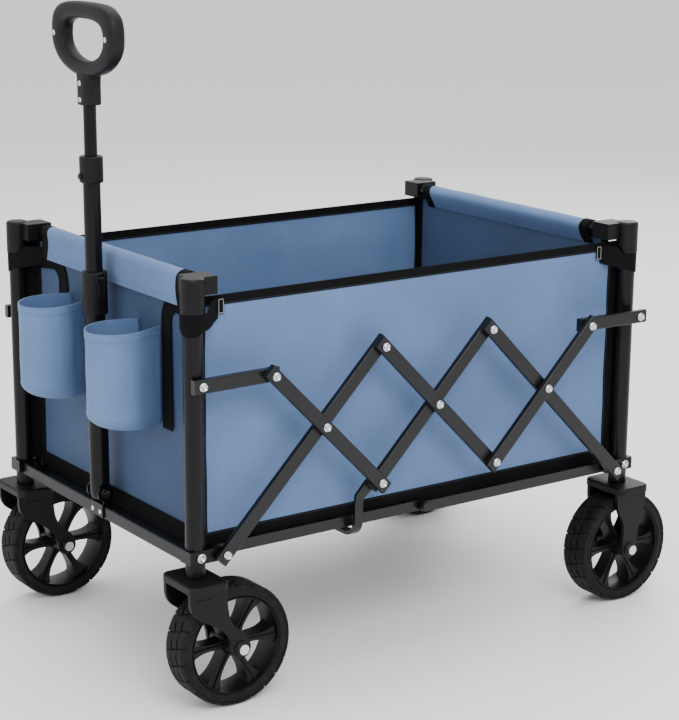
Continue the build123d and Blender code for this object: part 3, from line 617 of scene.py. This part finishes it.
def wheel(name, tread, spoke):
    """A tyre with its tread, and a rim with its hub and spokes."""
    body = f"{name}_wheel"
    axle = middle(f"{name}_rim")
    carcass = WHEEL_RADIUS - TREAD_DEPTH
    outline = [(RIM_RADIUS + step * MM, -share * TYRE_HALF) for step, share in BEAD]
    outline += [(carcass - step * MM, -share * TYRE_HALF) for step, share in SIDEWALL]
    tyre = piece_from(f"{name}_tyre_body", lathe(mirrored(outline), 96, axle), RUBBER, sharp=60)
    carried(tyre, body, "tread_rubber", f"{name}_tyre")
    values = {"Count": TREAD_COUNT, "Axle": axle, "Shape": tread, "Finish": RUBBER}
    carried(grown(f"{name}_tread", bpy.data.meshes.new("tread"), "ring", values), body, "tread_rubber")

    values = {"Count": SPOKE_COUNT, "Axle": axle, "Shape": spoke, "Finish": RIM_PLASTIC}
    spokes = grown("spokes", bpy.data.meshes.new("spokes"), "ring", values)
    for polygon in spokes.data.polygons:
        polygon.use_smooth = True
    outline = [(RIM_RADIUS - step * MM, along * MM) for step, along in BARREL]
    barrel = piece_from("barrel", lathe(mirrored(outline), 96, axle), RIM_PLASTIC, sharp=50)
    outline = [(radius * MM, along * MM) for radius, along in HUB]
    hub = piece_from("hub", lathe(mirrored(outline), 40, axle), RIM_PLASTIC)
    carried(joined(f"{name}_rim_moulding", [barrel, hub, spokes]), body, "rim_plastic", f"{name}_rim")


tread_pitch = tread_shape()
spoke_piece = spoke_shape()
for end in ENDS:
    for hand in SIDES:
        wheel(f"{end}_{hand}", tread_pitch, spoke_piece)
bpy.data.objects.remove(tread_pitch)
bpy.data.objects.remove(spoke_piece)


# ---- fabric tub ----
BAND = 14.0 * MM
HEM = 10.0 * MM  # how far the bottom bands hang below the sheets
CLOTH = 1.2 * MM
TAPE = CLOTH + 1.5 * MM
SEAM = 2.0 * MM  # from a band's edge to its stitches
PANEL_INSET = 11.0 * MM  # a side's outer face, inwards of the posts' middles


def softness(share, ends):
    """0 at a sheet's held edges, 1 in its free middle."""
    near = min(share, 1 - share) / ends
    return 1.0 if near >= 1 else math.sin(near * math.pi / 2) ** 2


def side_point(sign, u, v, lift=0.0):
    """A place on a side of the tub: taut at its bands, slack in soft vertical waves between them."""
    length = PANEL_HIGH.x - PANEL_LOW.x
    height = PANEL_HIGH.z - PANEL_LOW.z
    x = PANEL_LOW.x + u * length
    z = PANEL_LOW.z + v * height
    free = softness(v, 0.22) * softness(u, 0.04)
    wave = 1.7 * math.sin(9.0 * u + 1.1 * v) + 1.0 * noise.noise(Vector((x * 14, z * 5, sign * 3.7)))
    hang = 0.9 * noise.noise(Vector((x * 34, z * 9, 11.0 + sign)))
    tug = 0.9 * math.exp(-u * 16) * math.sin(20 * v) + 0.9 * math.exp(-(1 - u) * 16) * math.sin(17 * v + 1)
    inward = free * (2.4 + wave + hang) + softness(v, 0.1) * tug
    outer = POST_Y - PANEL_INSET - CLOTH / 2
    y = sign * (outer - max(inward, -0.4) * MM + lift)
    return Vector((x, y, z)), Vector((0, sign, 0))


def side_spot(sign, x, z, lift=0.0):
    u = (x - PANEL_LOW.x) / (PANEL_HIGH.x - PANEL_LOW.x)
    v = (z - PANEL_LOW.z) / (PANEL_HIGH.z - PANEL_LOW.z)
    return side_point(sign, u, v, lift)[0]


def squashed(made):
    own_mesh(made)


def row_between(sign, start, end, lift, count=60):
    """A line of points on a side, from one (x, z) to another."""
    steps = [Vector(start).lerp(Vector(end), k / count) for k in range(count + 1)]
    return [side_spot(sign, step.x, step.y, lift) for step in steps]


def tapes(spans, place, long_steps):
    """Strips of webbing over a sheet. A span is (low, high) along the sheet, then up it."""
    strips = []
    for (left, right), (low, high) in spans:
        wide = right - left > high - low

        def point(u, v):
            a, b = (u, v) if wide else (v, u)
            return place(left + (right - left) * a, low + (high - low) * b)

        size = (max(right - left, high - low), BAND)
        strips.append(cloth("strip", point, long_steps if wide else 50, 3, size, TAPE, WEBBING))
    return strips


def tub_side(hand):
    sign = SIDES[hand]
    low, high = PANEL_LOW, PANEL_HIGH
    size = (high.x - low.x, high.z - low.z)
    sheet = cloth(f"{hand}_tub_side", lambda u, v: side_point(sign, u, v), 150, 70, size, CLOTH, TUB_CLOTH)
    carried(sheet, "rear_frame", "blue_fabric", f"{hand}_side_panel")
    spans = [
        ((low.x, high.x), (high.z - BAND, high.z)),
        ((low.x, high.x), (low.z - HEM, low.z + BAND)),
        ((low.x, low.x + BAND), (low.z + BAND, high.z - BAND)),
        ((high.x - BAND, high.x), (low.z + BAND, high.z - BAND)),
    ]
    strips = tapes(spans, lambda x, z: (side_spot(sign, x, z), Vector((0, sign, 0))), 120)
    bands = carried(joined(f"{hand}_side_bands", strips), "rear_frame", "frame_tube")
    rows = []
    for lift in (TAPE / 2, -TAPE / 2):
        for z in (high.z - BAND + SEAM, low.z + BAND - SEAM):
            rows.append(row_between(sign, (low.x + SEAM, z), (high.x - SEAM, z), lift))
        for x in (low.x + BAND - SEAM, high.x - BAND + SEAM):
            rows.append(row_between(sign, (x, low.z + BAND), (x, high.z - BAND), lift, 30))
    sewn = carried(stitches(f"{hand}_side_stitches", rows), "rear_frame", "frame_tube")
    for made in (sheet, bands, sewn):
        squashed(made)


for hand in SIDES:
    tub_side(hand)


SLEEVE_FLAP = 38 * MM  # how far the outer flap hangs below the tube's middle
SLEEVE_TAIL = 26 * MM  # the same for the inner side
SLEEVE_RADIUS = TOP_TUBE_RADIUS + 1.2 * MM
SLEEVE_HALF = WALL_HALF - 45 * MM


def wall_point(end, u, v, z_low, z_high):
    """A place on an end wall's sheet."""
    way = ENDS[end]
    y = -WALL_HALF + u * 2 * WALL_HALF
    z = z_low + v * (z_high - z_low)
    free = softness(v, 0.25) * softness(u, 0.08)
    sag = free * (1.6 + 1.2 * math.sin(7 * u + 2 * v) + 0.8 * noise.noise(Vector((y * 18, z * 9, way * 2.0))))
    x = POST_X[end] + way * (WALL_OFFSET + CLOTH / 2 + sag * MM)
    return Vector((x, y, z)), Vector((-way, 0, 0))


def sleeve_outline(end):
    """The sleeve's section: up the wall's outer face as a flap, over the tube and down inside."""
    way = ENDS[end]
    radius = SLEEVE_RADIUS
    tube_x = POST_X[end] + way * TOP_TUBE_SET_BACK
    spots = [(-radius, TOP_TUBE_Z - SLEEVE_FLAP * (1 - k / 6)) for k in range(6)]
    for k in range(13):
        angle = math.pi - math.pi * k / 12
        spots.append((radius * math.cos(angle), TOP_TUBE_Z + radius * math.sin(angle)))
    wall_x = WALL_OFFSET + CLOTH + 0.8 * MM - TOP_TUBE_SET_BACK
    for k in range(1, 7):
        share = k / 6
        spots.append((radius + (wall_x - radius) * share**1.3, TOP_TUBE_Z - SLEEVE_TAIL * share))
    return [Vector((tube_x + way * x, 0, z)) for x, z in spots]


def outline_out(spots, k, way):
    along = heading(spots, k)
    return Vector((-along.z, 0, along.x)) * way


def sleeve_half(z):
    """Half the sleeve's length at a height: its ends are cut back in a curve beside the cap's lug."""
    share = max(0.0, min(1.0, (TOP_TUBE_Z + 11 * MM - z) / (48 * MM)))
    return SLEEVE_HALF - 5.0 * MM * math.sin(math.pi * share)


def end_wall(end):
    """The wall's sheet, the sleeve over its top tube, and their bindings and stitches."""
    way = ENDS[end]
    body = f"{end}_frame"
    low, top = WALL_BOTTOM, TOP_TUBE_Z - 16 * MM
    size = (2 * WALL_HALF, top - low)

    def wall_sheet(u, v):
        return wall_point(end, u, v, low, top)

    def wall_spot(y, z):
        return wall_sheet((y + WALL_HALF) / (2 * WALL_HALF), (z - low) / (top - low))

    # The wall's sheet takes the darker cloth, whose colour is painted shade.
    wall = cloth(f"{end}_tub_wall", wall_sheet, 100, 70, size, CLOTH, WALL_CLOTH_PAINTED_SHADE)
    carried(wall, body, "blue_fabric", f"{end}_wall")
    spots = sleeve_outline(end)
    outs = [outline_out(spots, k, way) for k in range(len(spots))]

    def sleeve_point(u, v):
        k = round(u * (len(spots) - 1))
        y = sleeve_half(spots[k].z) * (2 * v - 1)
        soft = 0.5 * MM * noise.noise(Vector((y * 26, spots[k].z * 40, way * 5.0)))
        return spots[k] + Vector((0, y, 0)) + outs[k] * soft, outs[k]

    size = (path_length(spots), 2 * SLEEVE_HALF)
    sleeve = cloth(f"{end}_sleeve", sleeve_point, len(spots) - 1, 110, size, CLOTH, TUB_CLOTH)
    carried(sleeve, body, "blue_fabric")
    pieces = []
    ways = [Vector((0, 1, 0))] * len(spots)
    for sign in SIDES.values():
        path = [spot + Vector((0, sign * (sleeve_half(spot.z) + 6 * MM), 0)) for spot in spots]
        pieces.append(ribbon("edge", path, outs, ways, [9 * MM] * len(spots), CLOTH + 1.3 * MM, WEBBING))
    spans = [
        ((-WALL_HALF, WALL_HALF), (low - HEM - 8 * MM, low + BAND)),
        ((-WALL_HALF, -WALL_HALF + BAND), (low + BAND, top)),
        ((WALL_HALF - BAND, WALL_HALF), (low + BAND, top)),
    ]
    pieces += tapes(spans, wall_spot, 90)
    bindings = carried(joined(f"{end}_wall_bindings", pieces), body, "frame_tube")
    x = POST_X[end] + way * (TOP_TUBE_SET_BACK - SLEEVE_RADIUS - CLOTH / 2)
    rows = []
    for drop in (3 * MM, 9 * MM):
        z = TOP_TUBE_Z - SLEEVE_FLAP + drop
        rows.append([Vector((x, y * (SLEEVE_HALF - 8 * MM), z)) for y in (-1, -0.5, 0, 0.5, 1)])
    sewn = carried(stitches(f"{end}_sleeve_stitches", rows, THREAD_BLUE), body, "blue_fabric")
    sleeve_flat = flat_size(size[0], size[1] - 6 * MM)


for end in ENDS:
    end_wall(end)


# ---- corner cuffs under the post caps ----
CUFF_RISE = 12.5 * MM  # of the cuff's two ends above the cap's lower edge


def corner_cuff(end, hand):
    """Black cloth cuff round a post under its cap, sewn to the side and to the end wall."""
    way, sign = ENDS[end], SIDES[hand]
    wrap = POST_RADIUS + 1.1 * MM
    side = PANEL_INSET - 0.4 * MM
    wall = WALL_OFFSET - 1.0 * MM
    plan = [(46 * MM, side), (36 * MM, 0.4 * side), (26 * MM, -5.5 * MM), (17 * MM, -11.5 * MM)]
    for k in range(15):
        angle = math.radians(-62 - k * 146 / 14)
        plan.append((wrap * math.cos(angle), wrap * math.sin(angle)))
    plan += [(-9.5 * MM, 17 * MM), (-2 * MM, 25 * MM), (9 * MM, 34 * MM), (wall, 46 * MM)]
    plan = [Vector(spot) for spot in plan]
    path, outs, halves = [], [], []
    for k, spot in enumerate(plan):
        share = abs(2 * k / (len(plan) - 1) - 1)
        rise = CUFF_RISE * min(1, (share - 0.3) / 0.5) if spot.length > 24 * MM else 0.0
        high = CAP_BOTTOM - 0.6 * MM + rise
        low = CAP_BOTTOM - (31 - 16 * share**2.2) * MM
        along = heading(plan, k)
        path.append(Vector((POST_X[end] + way * spot.x, sign * (POST_Y - spot.y), (low + high) / 2)))
        outs.append(Vector((-way * along.y, -sign * along.x, 0)))
        halves.append((high - low) / 2)
    ways = [Vector((0, 0, 1))] * len(plan)
    return ribbon(f"{end}_{hand}_corner_cuff", path, outs, ways, halves, 1.4 * MM, WEBBING)


def blank_tag(end, hand):
    """A small blank woven tag at the end of the cuff, and the row of its stitches."""
    way, sign = ENDS[end], SIDES[hand]
    x = POST_X[end] + way * 50 * MM
    y = sign * (POST_Y - 8.2 * MM)
    z = CAP_BOTTOM + 2 * MM
    row = []
    for a, b in ((-1, -1), (1, -1), (1, 1), (-1, 1), (-1, -1)):
        row.append(Vector((x + a * 3.6 * MM, y + sign * 0.45 * MM, z + b * 9.4 * MM)))
    maker = block((x, y, z), (10 * MM, 0.8 * MM, 22 * MM))
    return piece_from(f"{end}_{hand}_tag", maker, WEBBING), row


def corner_lining(end, hand):
    """Black cloth behind a post, from the end of the side to the end of the wall, with a piped edge."""
    way, sign = ENDS[end], SIDES[hand]
    plan = [(24.2, 18.5), (20.5, 16.6), (16.6, 15.2), (13.4, 14.6)]
    for k in range(9):
        angle = math.radians(60 - k * 40)
        plan.append((10.7 + 2.0 * math.cos(angle), 12.4 + 2.0 * math.sin(angle)))
    plan = [Vector(spot) * MM for spot in plan]
    low, top = PANEL_LOW.z + 1 * MM, CAP_BOTTOM - 1.5 * MM

    def point(u, v):
        k = round(u * (len(plan) - 1))
        spot, along = plan[k], heading(plan, k)
        place = Vector((POST_X[end] + way * spot.x, sign * (POST_Y - spot.y), low + v * (top - low)))
        return place, Vector((way * along.y, sign * along.x, 0))

    size = (0.04, top - low)
    return cloth(f"{end}_{hand}_corner_lining", point, len(plan) - 1, 40, size, 0.9 * MM, WEBBING)


for end in ENDS:
    rows = []
    for hand in SIDES:
        cuff, lining = corner_cuff(end, hand), corner_lining(end, hand)
        tag, row = blank_tag(end, hand)
        for made in (cuff, lining, tag):
            carried(made, f"{end}_frame", "frame_tube")
        rows.append(row)
    sewn = stitches(f"{end}_tag_stitches", rows, THREAD_PALE, 2.4 * MM, 2.0 * MM, 0.4 * MM)
    carried(sewn, f"{end}_frame", "frame_tube")


# ---- bottle pockets ----
POCKETS_LOW, POCKETS_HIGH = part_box("bottle_pockets")
POCKET_RADIUS = 45.6 * MM
POCKET_X = POCKETS_LOW[0] + POCKET_RADIUS
POCKET_Y = POCKETS_HIGH[1] - POCKET_RADIUS
POCKET_TURN = math.radians(110)  # half of the round front's angle
POCKET_ROUND = 24 * MM  # height of the rounded bottom
POCKET_HEM = 11 * MM
WALL_FACE = POST_X["front"] + WALL_OFFSET


def pocket_plan(share):
    """The pocket from above, a round front whose sides run back to the wall: a place and the way out."""
    back = WALL_FACE - POCKET_X
    turn = POCKET_TURN
    corner = Vector((-math.cos(turn), math.sin(turn))) * POCKET_RADIUS
    slope = Vector((math.sin(turn), math.cos(turn)))
    straight = (back - corner.x) / slope.x
    arc = 2 * turn * POCKET_RADIUS
    at = share * (arc + 2 * straight)
    if at < straight:
        spot = corner + slope * (straight - at)
        return Vector((spot.x, -spot.y)), Vector((-slope.y, -slope.x))
    if at > straight + arc:
        spot = corner + slope * (at - straight - arc)
        return spot, Vector((-slope.y, slope.x))
    angle = (at - straight) / POCKET_RADIUS - turn
    out = Vector((-math.cos(angle), math.sin(angle)))
    return out * POCKET_RADIUS, out


def pocket_floor(rim):
    """A flat bottom inside a rim of points, as thick as the cloth."""
    maker = bmesh.new()
    lift = Vector((0, 0, CLOTH))
    skin(maker, [[maker.verts.new(spot) for spot in rim], [maker.verts.new(spot + lift) for spot in rim]])
    base = piece_from("pocket_floor", maker, TUB_CLOTH)
    uv = base.data.uv_layers.new(name="cloth")
    for loop in base.data.loops:
        place = base.data.vertices[loop.vertex_index].co
        uv.data[loop.index].uv = (place.x, place.y)
    return base


def pocket_edging(hand):
    """Webbing that stands on the wall beside a pocket, bends outwards at its top and runs to the post."""
    sign = SIDES[hand]
    strip_y = 153.5 * MM
    face_x = WALL_FACE - 0.9 * MM
    bend = 30 * MM
    low = POCKETS_LOW[2]
    path = [Vector((face_x, sign * strip_y, low + (550 * MM - low) * k / 30)) for k in range(28)]
    corner = Vector((face_x, sign * (strip_y + bend), path[-1].z))
    for k in range(1, 13):
        angle = math.radians(90 * k / 12)
        path.append(corner + Vector((0, -sign * bend * math.cos(angle), bend * math.sin(angle))))
    path += [path[-1] + Vector((0, sign * 5 * MM * k, -0.6 * MM * k)) for k in range(1, 11)]
    ways = []
    for k in range(len(path)):
        along = heading(path, k)
        ways.append(Vector((0, along.z, -along.y)))
    outs = [Vector((-1, 0, 0))] * len(path)
    edge = ribbon(f"{hand}_pocket_edging", path, outs, ways, [13 * MM] * len(path), 1.6 * MM, WEBBING)
    return carried(edge, "front_frame", "frame_tube")


def bottle_pocket(hand):
    sign = SIDES[hand]
    centre = Vector((POCKET_X, sign * POCKET_Y, 0))
    low = POCKETS_LOW[2]
    height = POCKETS_HIGH[2] - low
    back = Vector((WALL_FACE - POCKET_X, 0))
    round_share = 0.30  # of the cloth's height, spent on the rounded bottom
    steps = 96

    def point(u, v):
        spot, out = pocket_plan(u)
        if v < round_share:
            angle = v / round_share * math.pi / 2
            reach = 1 - 0.42 * (1 - math.sin(angle))
            z = low + POCKET_ROUND * (1 - math.cos(angle)) * 0.999
            facing = Vector((out.x * math.sin(angle), out.y * math.sin(angle), -math.cos(angle)))
        else:
            share = (v - round_share) / (1 - round_share)
            reach = 1.0
            front = 0.5 + 0.5 * math.cos((u - 0.5) * 2 * math.pi)
            z = low + POCKET_ROUND + share * (height - POCKET_ROUND - 3.0 * MM * front)
            facing = Vector((out.x, out.y, 0))
            crease = noise.noise(Vector((u * 9, z * 22, sign * 4.0)))
            crease += 0.6 * noise.noise(Vector((u * 22, z * 9, 7)))
            spot = spot + out * (-0.9 + 0.9 * crease * softness(share, 0.3)) * MM
        spot = back + (spot - back) * reach
        outward = Vector((facing.x, sign * facing.y, facing.z)).normalized()
        return centre + Vector((spot.x, sign * spot.y, z)), outward

    girth = 2 * POCKET_TURN * POCKET_RADIUS + 70 * MM
    cup = cloth("cup", point, steps, 60, (girth, height), CLOTH, TUB_CLOTH)
    base = pocket_floor([point(2 * k / steps, 0.0)[0] for k in range(steps // 2 + 1)])
    cup = joined(f"{hand}_pocket", [cup, base])
    carried(cup, "front_frame", "blue_fabric", "bottle_pockets")

    def hem_point(u, v):
        spot, out = point(u, 1.0)
        return spot + out * 0.4 * MM + Vector((0, 0, -(1 - v) * POCKET_HEM)), out

    size = (girth, POCKET_HEM)
    hem = cloth(f"{hand}_pocket_hem", hem_point, steps, 4, size, CLOTH + 1.0 * MM, TUB_CLOTH)
    carried(hem, "front_frame", "blue_fabric")
    rows = []
    for drop in (8.6, 2.2):
        rim = [point(k / steps, 1.0) for k in range(steps + 1)]
        rows.append([spot + out * 1.55 * MM - Vector((0, 0, drop * MM)) for spot, out in rim])
    sewn = carried(stitches(f"{hand}_pocket_stitches", rows, THREAD_BLUE), "front_frame", "blue_fabric")
    edge = pocket_edging(hand)


for hand in SIDES:
    bottle_pocket(hand)


# ---- floor mat ----
def floor_mat():
    """A board in four leaves sewn into cloth, with a groove at each fold."""
    low, high = (Vector(corner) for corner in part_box("floor_panel"))
    size = (high.x - low.x, high.y - low.y)
    leaves = 4
    groove = 2.0 * MM
    thickness = 4.2 * MM

    def point(u, v):
        leaf = (u * leaves) % 1.0
        fold = min(leaf, 1 - leaf) * size[0] / leaves
        dip = groove * math.exp(-fold / (3.5 * MM)) if 0.05 < u < 0.95 else 0.0
        dip += 1.2 * MM * (1 - softness(v, 0.02)) + 1.2 * MM * (1 - softness(u, 0.02))
        soft = 0.3 * MM * noise.noise(Vector((u * 16, v * 12, 3.0)))
        z = high.z - thickness / 2 - 0.5 * MM - dip / 2 + soft
        return Vector((low.x + u * size[0], low.y + v * size[1], z)), Vector((0, 0, 1))

    mat = cloth("floor_mat", point, 160, 60, size, thickness, FLOOR_CLOTH)
    carried(mat, "rear_frame", "blue_fabric", "floor_panel")
    squashed(mat)


floor_mat()


# ---- handle details ----
# The grip's two loops: half width, bottom, top and squareness. Heights are from the handle's pivot.
GRIP_OUTER = (88.6, 607.4, 710.6, 3.6)
GRIP_INNER = (61.5, 629.0, 687.5, 2.9)
GRIP_SQUARE = 3.2  # of the bar's section
GRIP_FACE = 13.4 * MM  # half the grip's thickness
STEM_FACE = 14.4 * MM
STEM_SQUARE = 4
STEM = [  # height, half width and half depth
    (568.0, 13.2, 13.2),
    (569.2, 14.4, 14.4),
    (596.0, 14.6, 14.4),
    (606.0, 16.5, 14.0),
    (616.0, 23.0, 12.6),
]


def on_handle(x, y, height):
    """A place given upright about the handle's pivot, put on the leaning handle."""
    across = Vector((HANDLE_UP.z, 0, -HANDLE_UP.x))
    return HANDLE_PIVOT + across * x + Vector((0, y, 0)) + HANDLE_UP * height


def screw_shape(radius, height):
    """A round screw head with a cross cut in it."""
    maker = bmesh.new()
    segments = 20
    cross = [0.72 if k % 5 == 0 else 0.18 for k in range(segments)]
    dome = ((1.0, 0.0), (1.0, 0.35), (0.86, 0.75), (0.68, 1.0))
    rings = []
    for shares, rise in [([share] * segments, rise) for share, rise in dome] + [(cross, 0.05)]:
        ring = []
        for share, angle in zip(shares, angles(segments)):
            reach = radius * share
            ring.append(maker.verts.new((reach * math.cos(angle), reach * math.sin(angle), height * rise)))
        rings.append(ring)
    skin(maker, rings)
    return piece_from("screw_head", maker, ZINC, sharp=30)


def squared(angle, power):
    """A point of a rounded square with half width 1."""
    c, s = math.cos(angle), math.sin(angle)
    bend = (abs(c) ** power + abs(s) ** power) ** (-1 / power)
    return c * bend, s * bend


def grip_curve(angle, half, low, top, square):
    """A loop in the grip's plane: a half ellipse below and a squarer curve above."""
    centre = low + 0.53 * (top - low)
    if math.sin(angle) < 0:
        return Vector((half * math.cos(angle), centre + (centre - low) * math.sin(angle))) * MM
    across, up = squared(angle, square)
    return Vector((half * across, centre + (top - centre) * up)) * MM


def grip_moulding():
    """The looped grip, with a full rounded section, and the squared stem under it."""
    maker = bmesh.new()
    steps, section = 120, 20
    rings = []
    for angle in angles(steps):
        outer, inner = grip_curve(angle, *GRIP_OUTER), grip_curve(angle, *GRIP_INNER)
        ring = []
        for around in angles(section):
            across, deep = squared(around, GRIP_SQUARE)
            spot = outer + (inner - outer) * (0.5 - 0.5 * across)
            ring.append(maker.verts.new(on_handle(GRIP_FACE * deep, spot.x, spot.y)))
        rings.append(ring)
    skin(maker, rings, around=True)
    loop = piece_from("grip_ring", maker, GRIP_PLASTIC)
    maker = bmesh.new()
    rings = []
    for height, half, depth in STEM:
        ring = []
        for around in angles(32):
            across, deep = squared(around, STEM_SQUARE)
            ring.append(maker.verts.new(on_handle(depth * deep * MM, half * across * MM, height * MM)))
        rings.append(ring)
    skin(maker, rings)
    stem = piece_from("grip_stem", maker, GRIP_PLASTIC)
    nodes = [node for node, body in BODY_OF.items() if body == "grip" and "tube" not in node]
    carried(joined("grip_moulding", [loop, stem]), "grip", "grip_plastic", *nodes)


grip_moulding()


def fork_marks(hand):
    """A short raised bar near the top of each leg of a swivelling fork."""
    x = POST_X["front"] - 6 * MM
    y = middle(f"front_{hand}_rim").y
    bars = []
    for side in (-36.2 * MM, 36.2 * MM):
        maker = block((x, y + side, 171 * MM), (24 * MM, 1.8 * MM, 4.2 * MM))
        bars.append(bevelled(piece_from("mark", maker, PLASTIC), 0.7 * MM))
    carried(joined(f"front_{hand}_fork_marks", bars), f"front_{hand}_caster", "plastic")


for hand in SIDES:
    fork_marks(hand)


# ---- screws and rivets ----
NEAR_MIDDLE = 200 * MM  # pins nearer the cart's middle than this have no crosses
HEAD_SINK = 0.4 * MM


def outer_heads(node):
    """The outermost face of each pin in a node, as (place, way outwards), in order of place."""
    maker = bmesh.new()
    maker.from_mesh(frame["nodes"][node].data)
    bmesh.ops.remove_doubles(maker, verts=maker.verts, dist=WELD)
    left = set(maker.verts)
    found = []
    while left:
        group, queue = [], [left.pop()]
        while queue:
            vertex = queue.pop()
            group.append(vertex.co.copy())
            for edge in vertex.link_edges:
                other = edge.other_vert(vertex)
                if other in left:
                    left.remove(other)
                    queue.append(other)
        low, high = (Vector([pick(spot[k] for spot in group) for k in range(3)]) for pick in (min, max))
        centre = (low + high) / 2
        sign = 1 if centre.y > 0 else -1
        end = high.y if sign > 0 else low.y
        if abs(centre.y) > NEAR_MIDDLE:
            found.append((Vector((centre.x, end - sign * HEAD_SINK, centre.z)), Vector((0, sign, 0))))
    maker.free()
    return sorted(found, key=lambda spot: tuple(spot[0]))


def fixings():
    """Cross-slotted heads on the grip and its stem, on the frame's pins and on the handle's bracket."""
    screw = screw_shape(3.9 * MM, 2.0 * MM)
    rivet = screw_shape(5.6 * MM, 2.2 * MM)
    forward = (on_handle(-1, 0, 0) - on_handle(0, 0, 0)).normalized()
    spots = [(on_handle(-GRIP_FACE, y * MM, 664 * MM), forward) for y in (-75, 75)]
    spots += [(on_handle(-STEM_FACE, 0, height * MM), forward) for height in (576, 599)]
    carried(heads("grip_screws", spots, screw), "grip", "rivet_zinc")
    for part in frame["record"]["subparts"]:
        node = part["node"]
        pins = part["material_slot"] == "rivet_zinc" and "axle" not in node
        spots = outer_heads(node) if pins else []
        if spots:
            carried(heads(f"{node}_crosses", spots, rivet), BODY_OF[node], "rivet_zinc")
    bracket_x = POST_X["front"] - 12.4 * MM
    spots = [(Vector((bracket_x, y * MM, 222.5 * MM)), Vector((-1, 0, 0))) for y in (-11, 11)]
    carried(heads("bracket_rivets", spots, screw), "front_frame", "rivet_zinc")
    for shape in (screw, rivet):
        bpy.data.objects.remove(shape)


fixings()


# ---- stage, lights and camera ----
def stage_floor():
    paint = Shader("studio_floor").set(Base_Color=(0.93, 0.93, 0.93), Roughness=0.6)
    maker = bmesh.new()
    bmesh.ops.create_grid(maker, x_segments=2, y_segments=2, size=14.0)
    piece_from("studio_floor", maker, paint.material)


def area_light(name, place, aim, size, watts):
    light = bpy.data.lights.new(name, "AREA")
    light.shape = "RECTANGLE"
    light.size, light.size_y = size
    light.energy = watts
    lamp = in_scene(name, light)
    lamp.location = place
    lamp.rotation_mode = "QUATERNION"
    lamp.rotation_quaternion = (Vector(aim) - Vector(place)).to_track_quat("-Z", "Y")


stage_floor()
area_light("key", (-1.0, -3.0, 3.0), (0, 0, 0.3), (2.4, 1.8), 105)
area_light("sky", (0.3, 0.4, 3.8), (0, 0, 0.3), (3.4, 3.4), 95)
area_light("fill", (-3.6, 0.6, 1.6), (0, 0, 0.4), (2.0, 2.2), 26)
area_light("rim", (3.0, 2.2, 2.4), (0, 0, 0.4), (1.8, 1.8), 40)
world = bpy.data.worlds.new("studio")
bpy.context.scene.world = world
world.use_nodes = True
background = world.node_tree.nodes["Background"]
background.inputs["Color"].default_value = (0.96, 0.97, 1.0, 1)
background.inputs["Strength"].default_value = 1.15

# The camera stands off the left front corner, a little above the handle.
MIDDLE_X = (POST_X["front"] + POST_X["rear"]) / 2
lens = bpy.data.cameras.new("camera")
lens.sensor_width = 36.0
lens.lens = 98.625
eye = in_scene("camera", lens)
eye.location = (MIDDLE_X - 1.71276, -2.46807, 1.14585)
right = Vector((0.81751, -0.57588, 0.00619))
look = Vector((0.559885, 0.79219, -0.242824))
turn = Matrix((right, right.cross(look), -look)).transposed()
eye.rotation_mode = "QUATERNION"
eye.rotation_quaternion = turn.to_quaternion()
bpy.context.scene.camera = eye
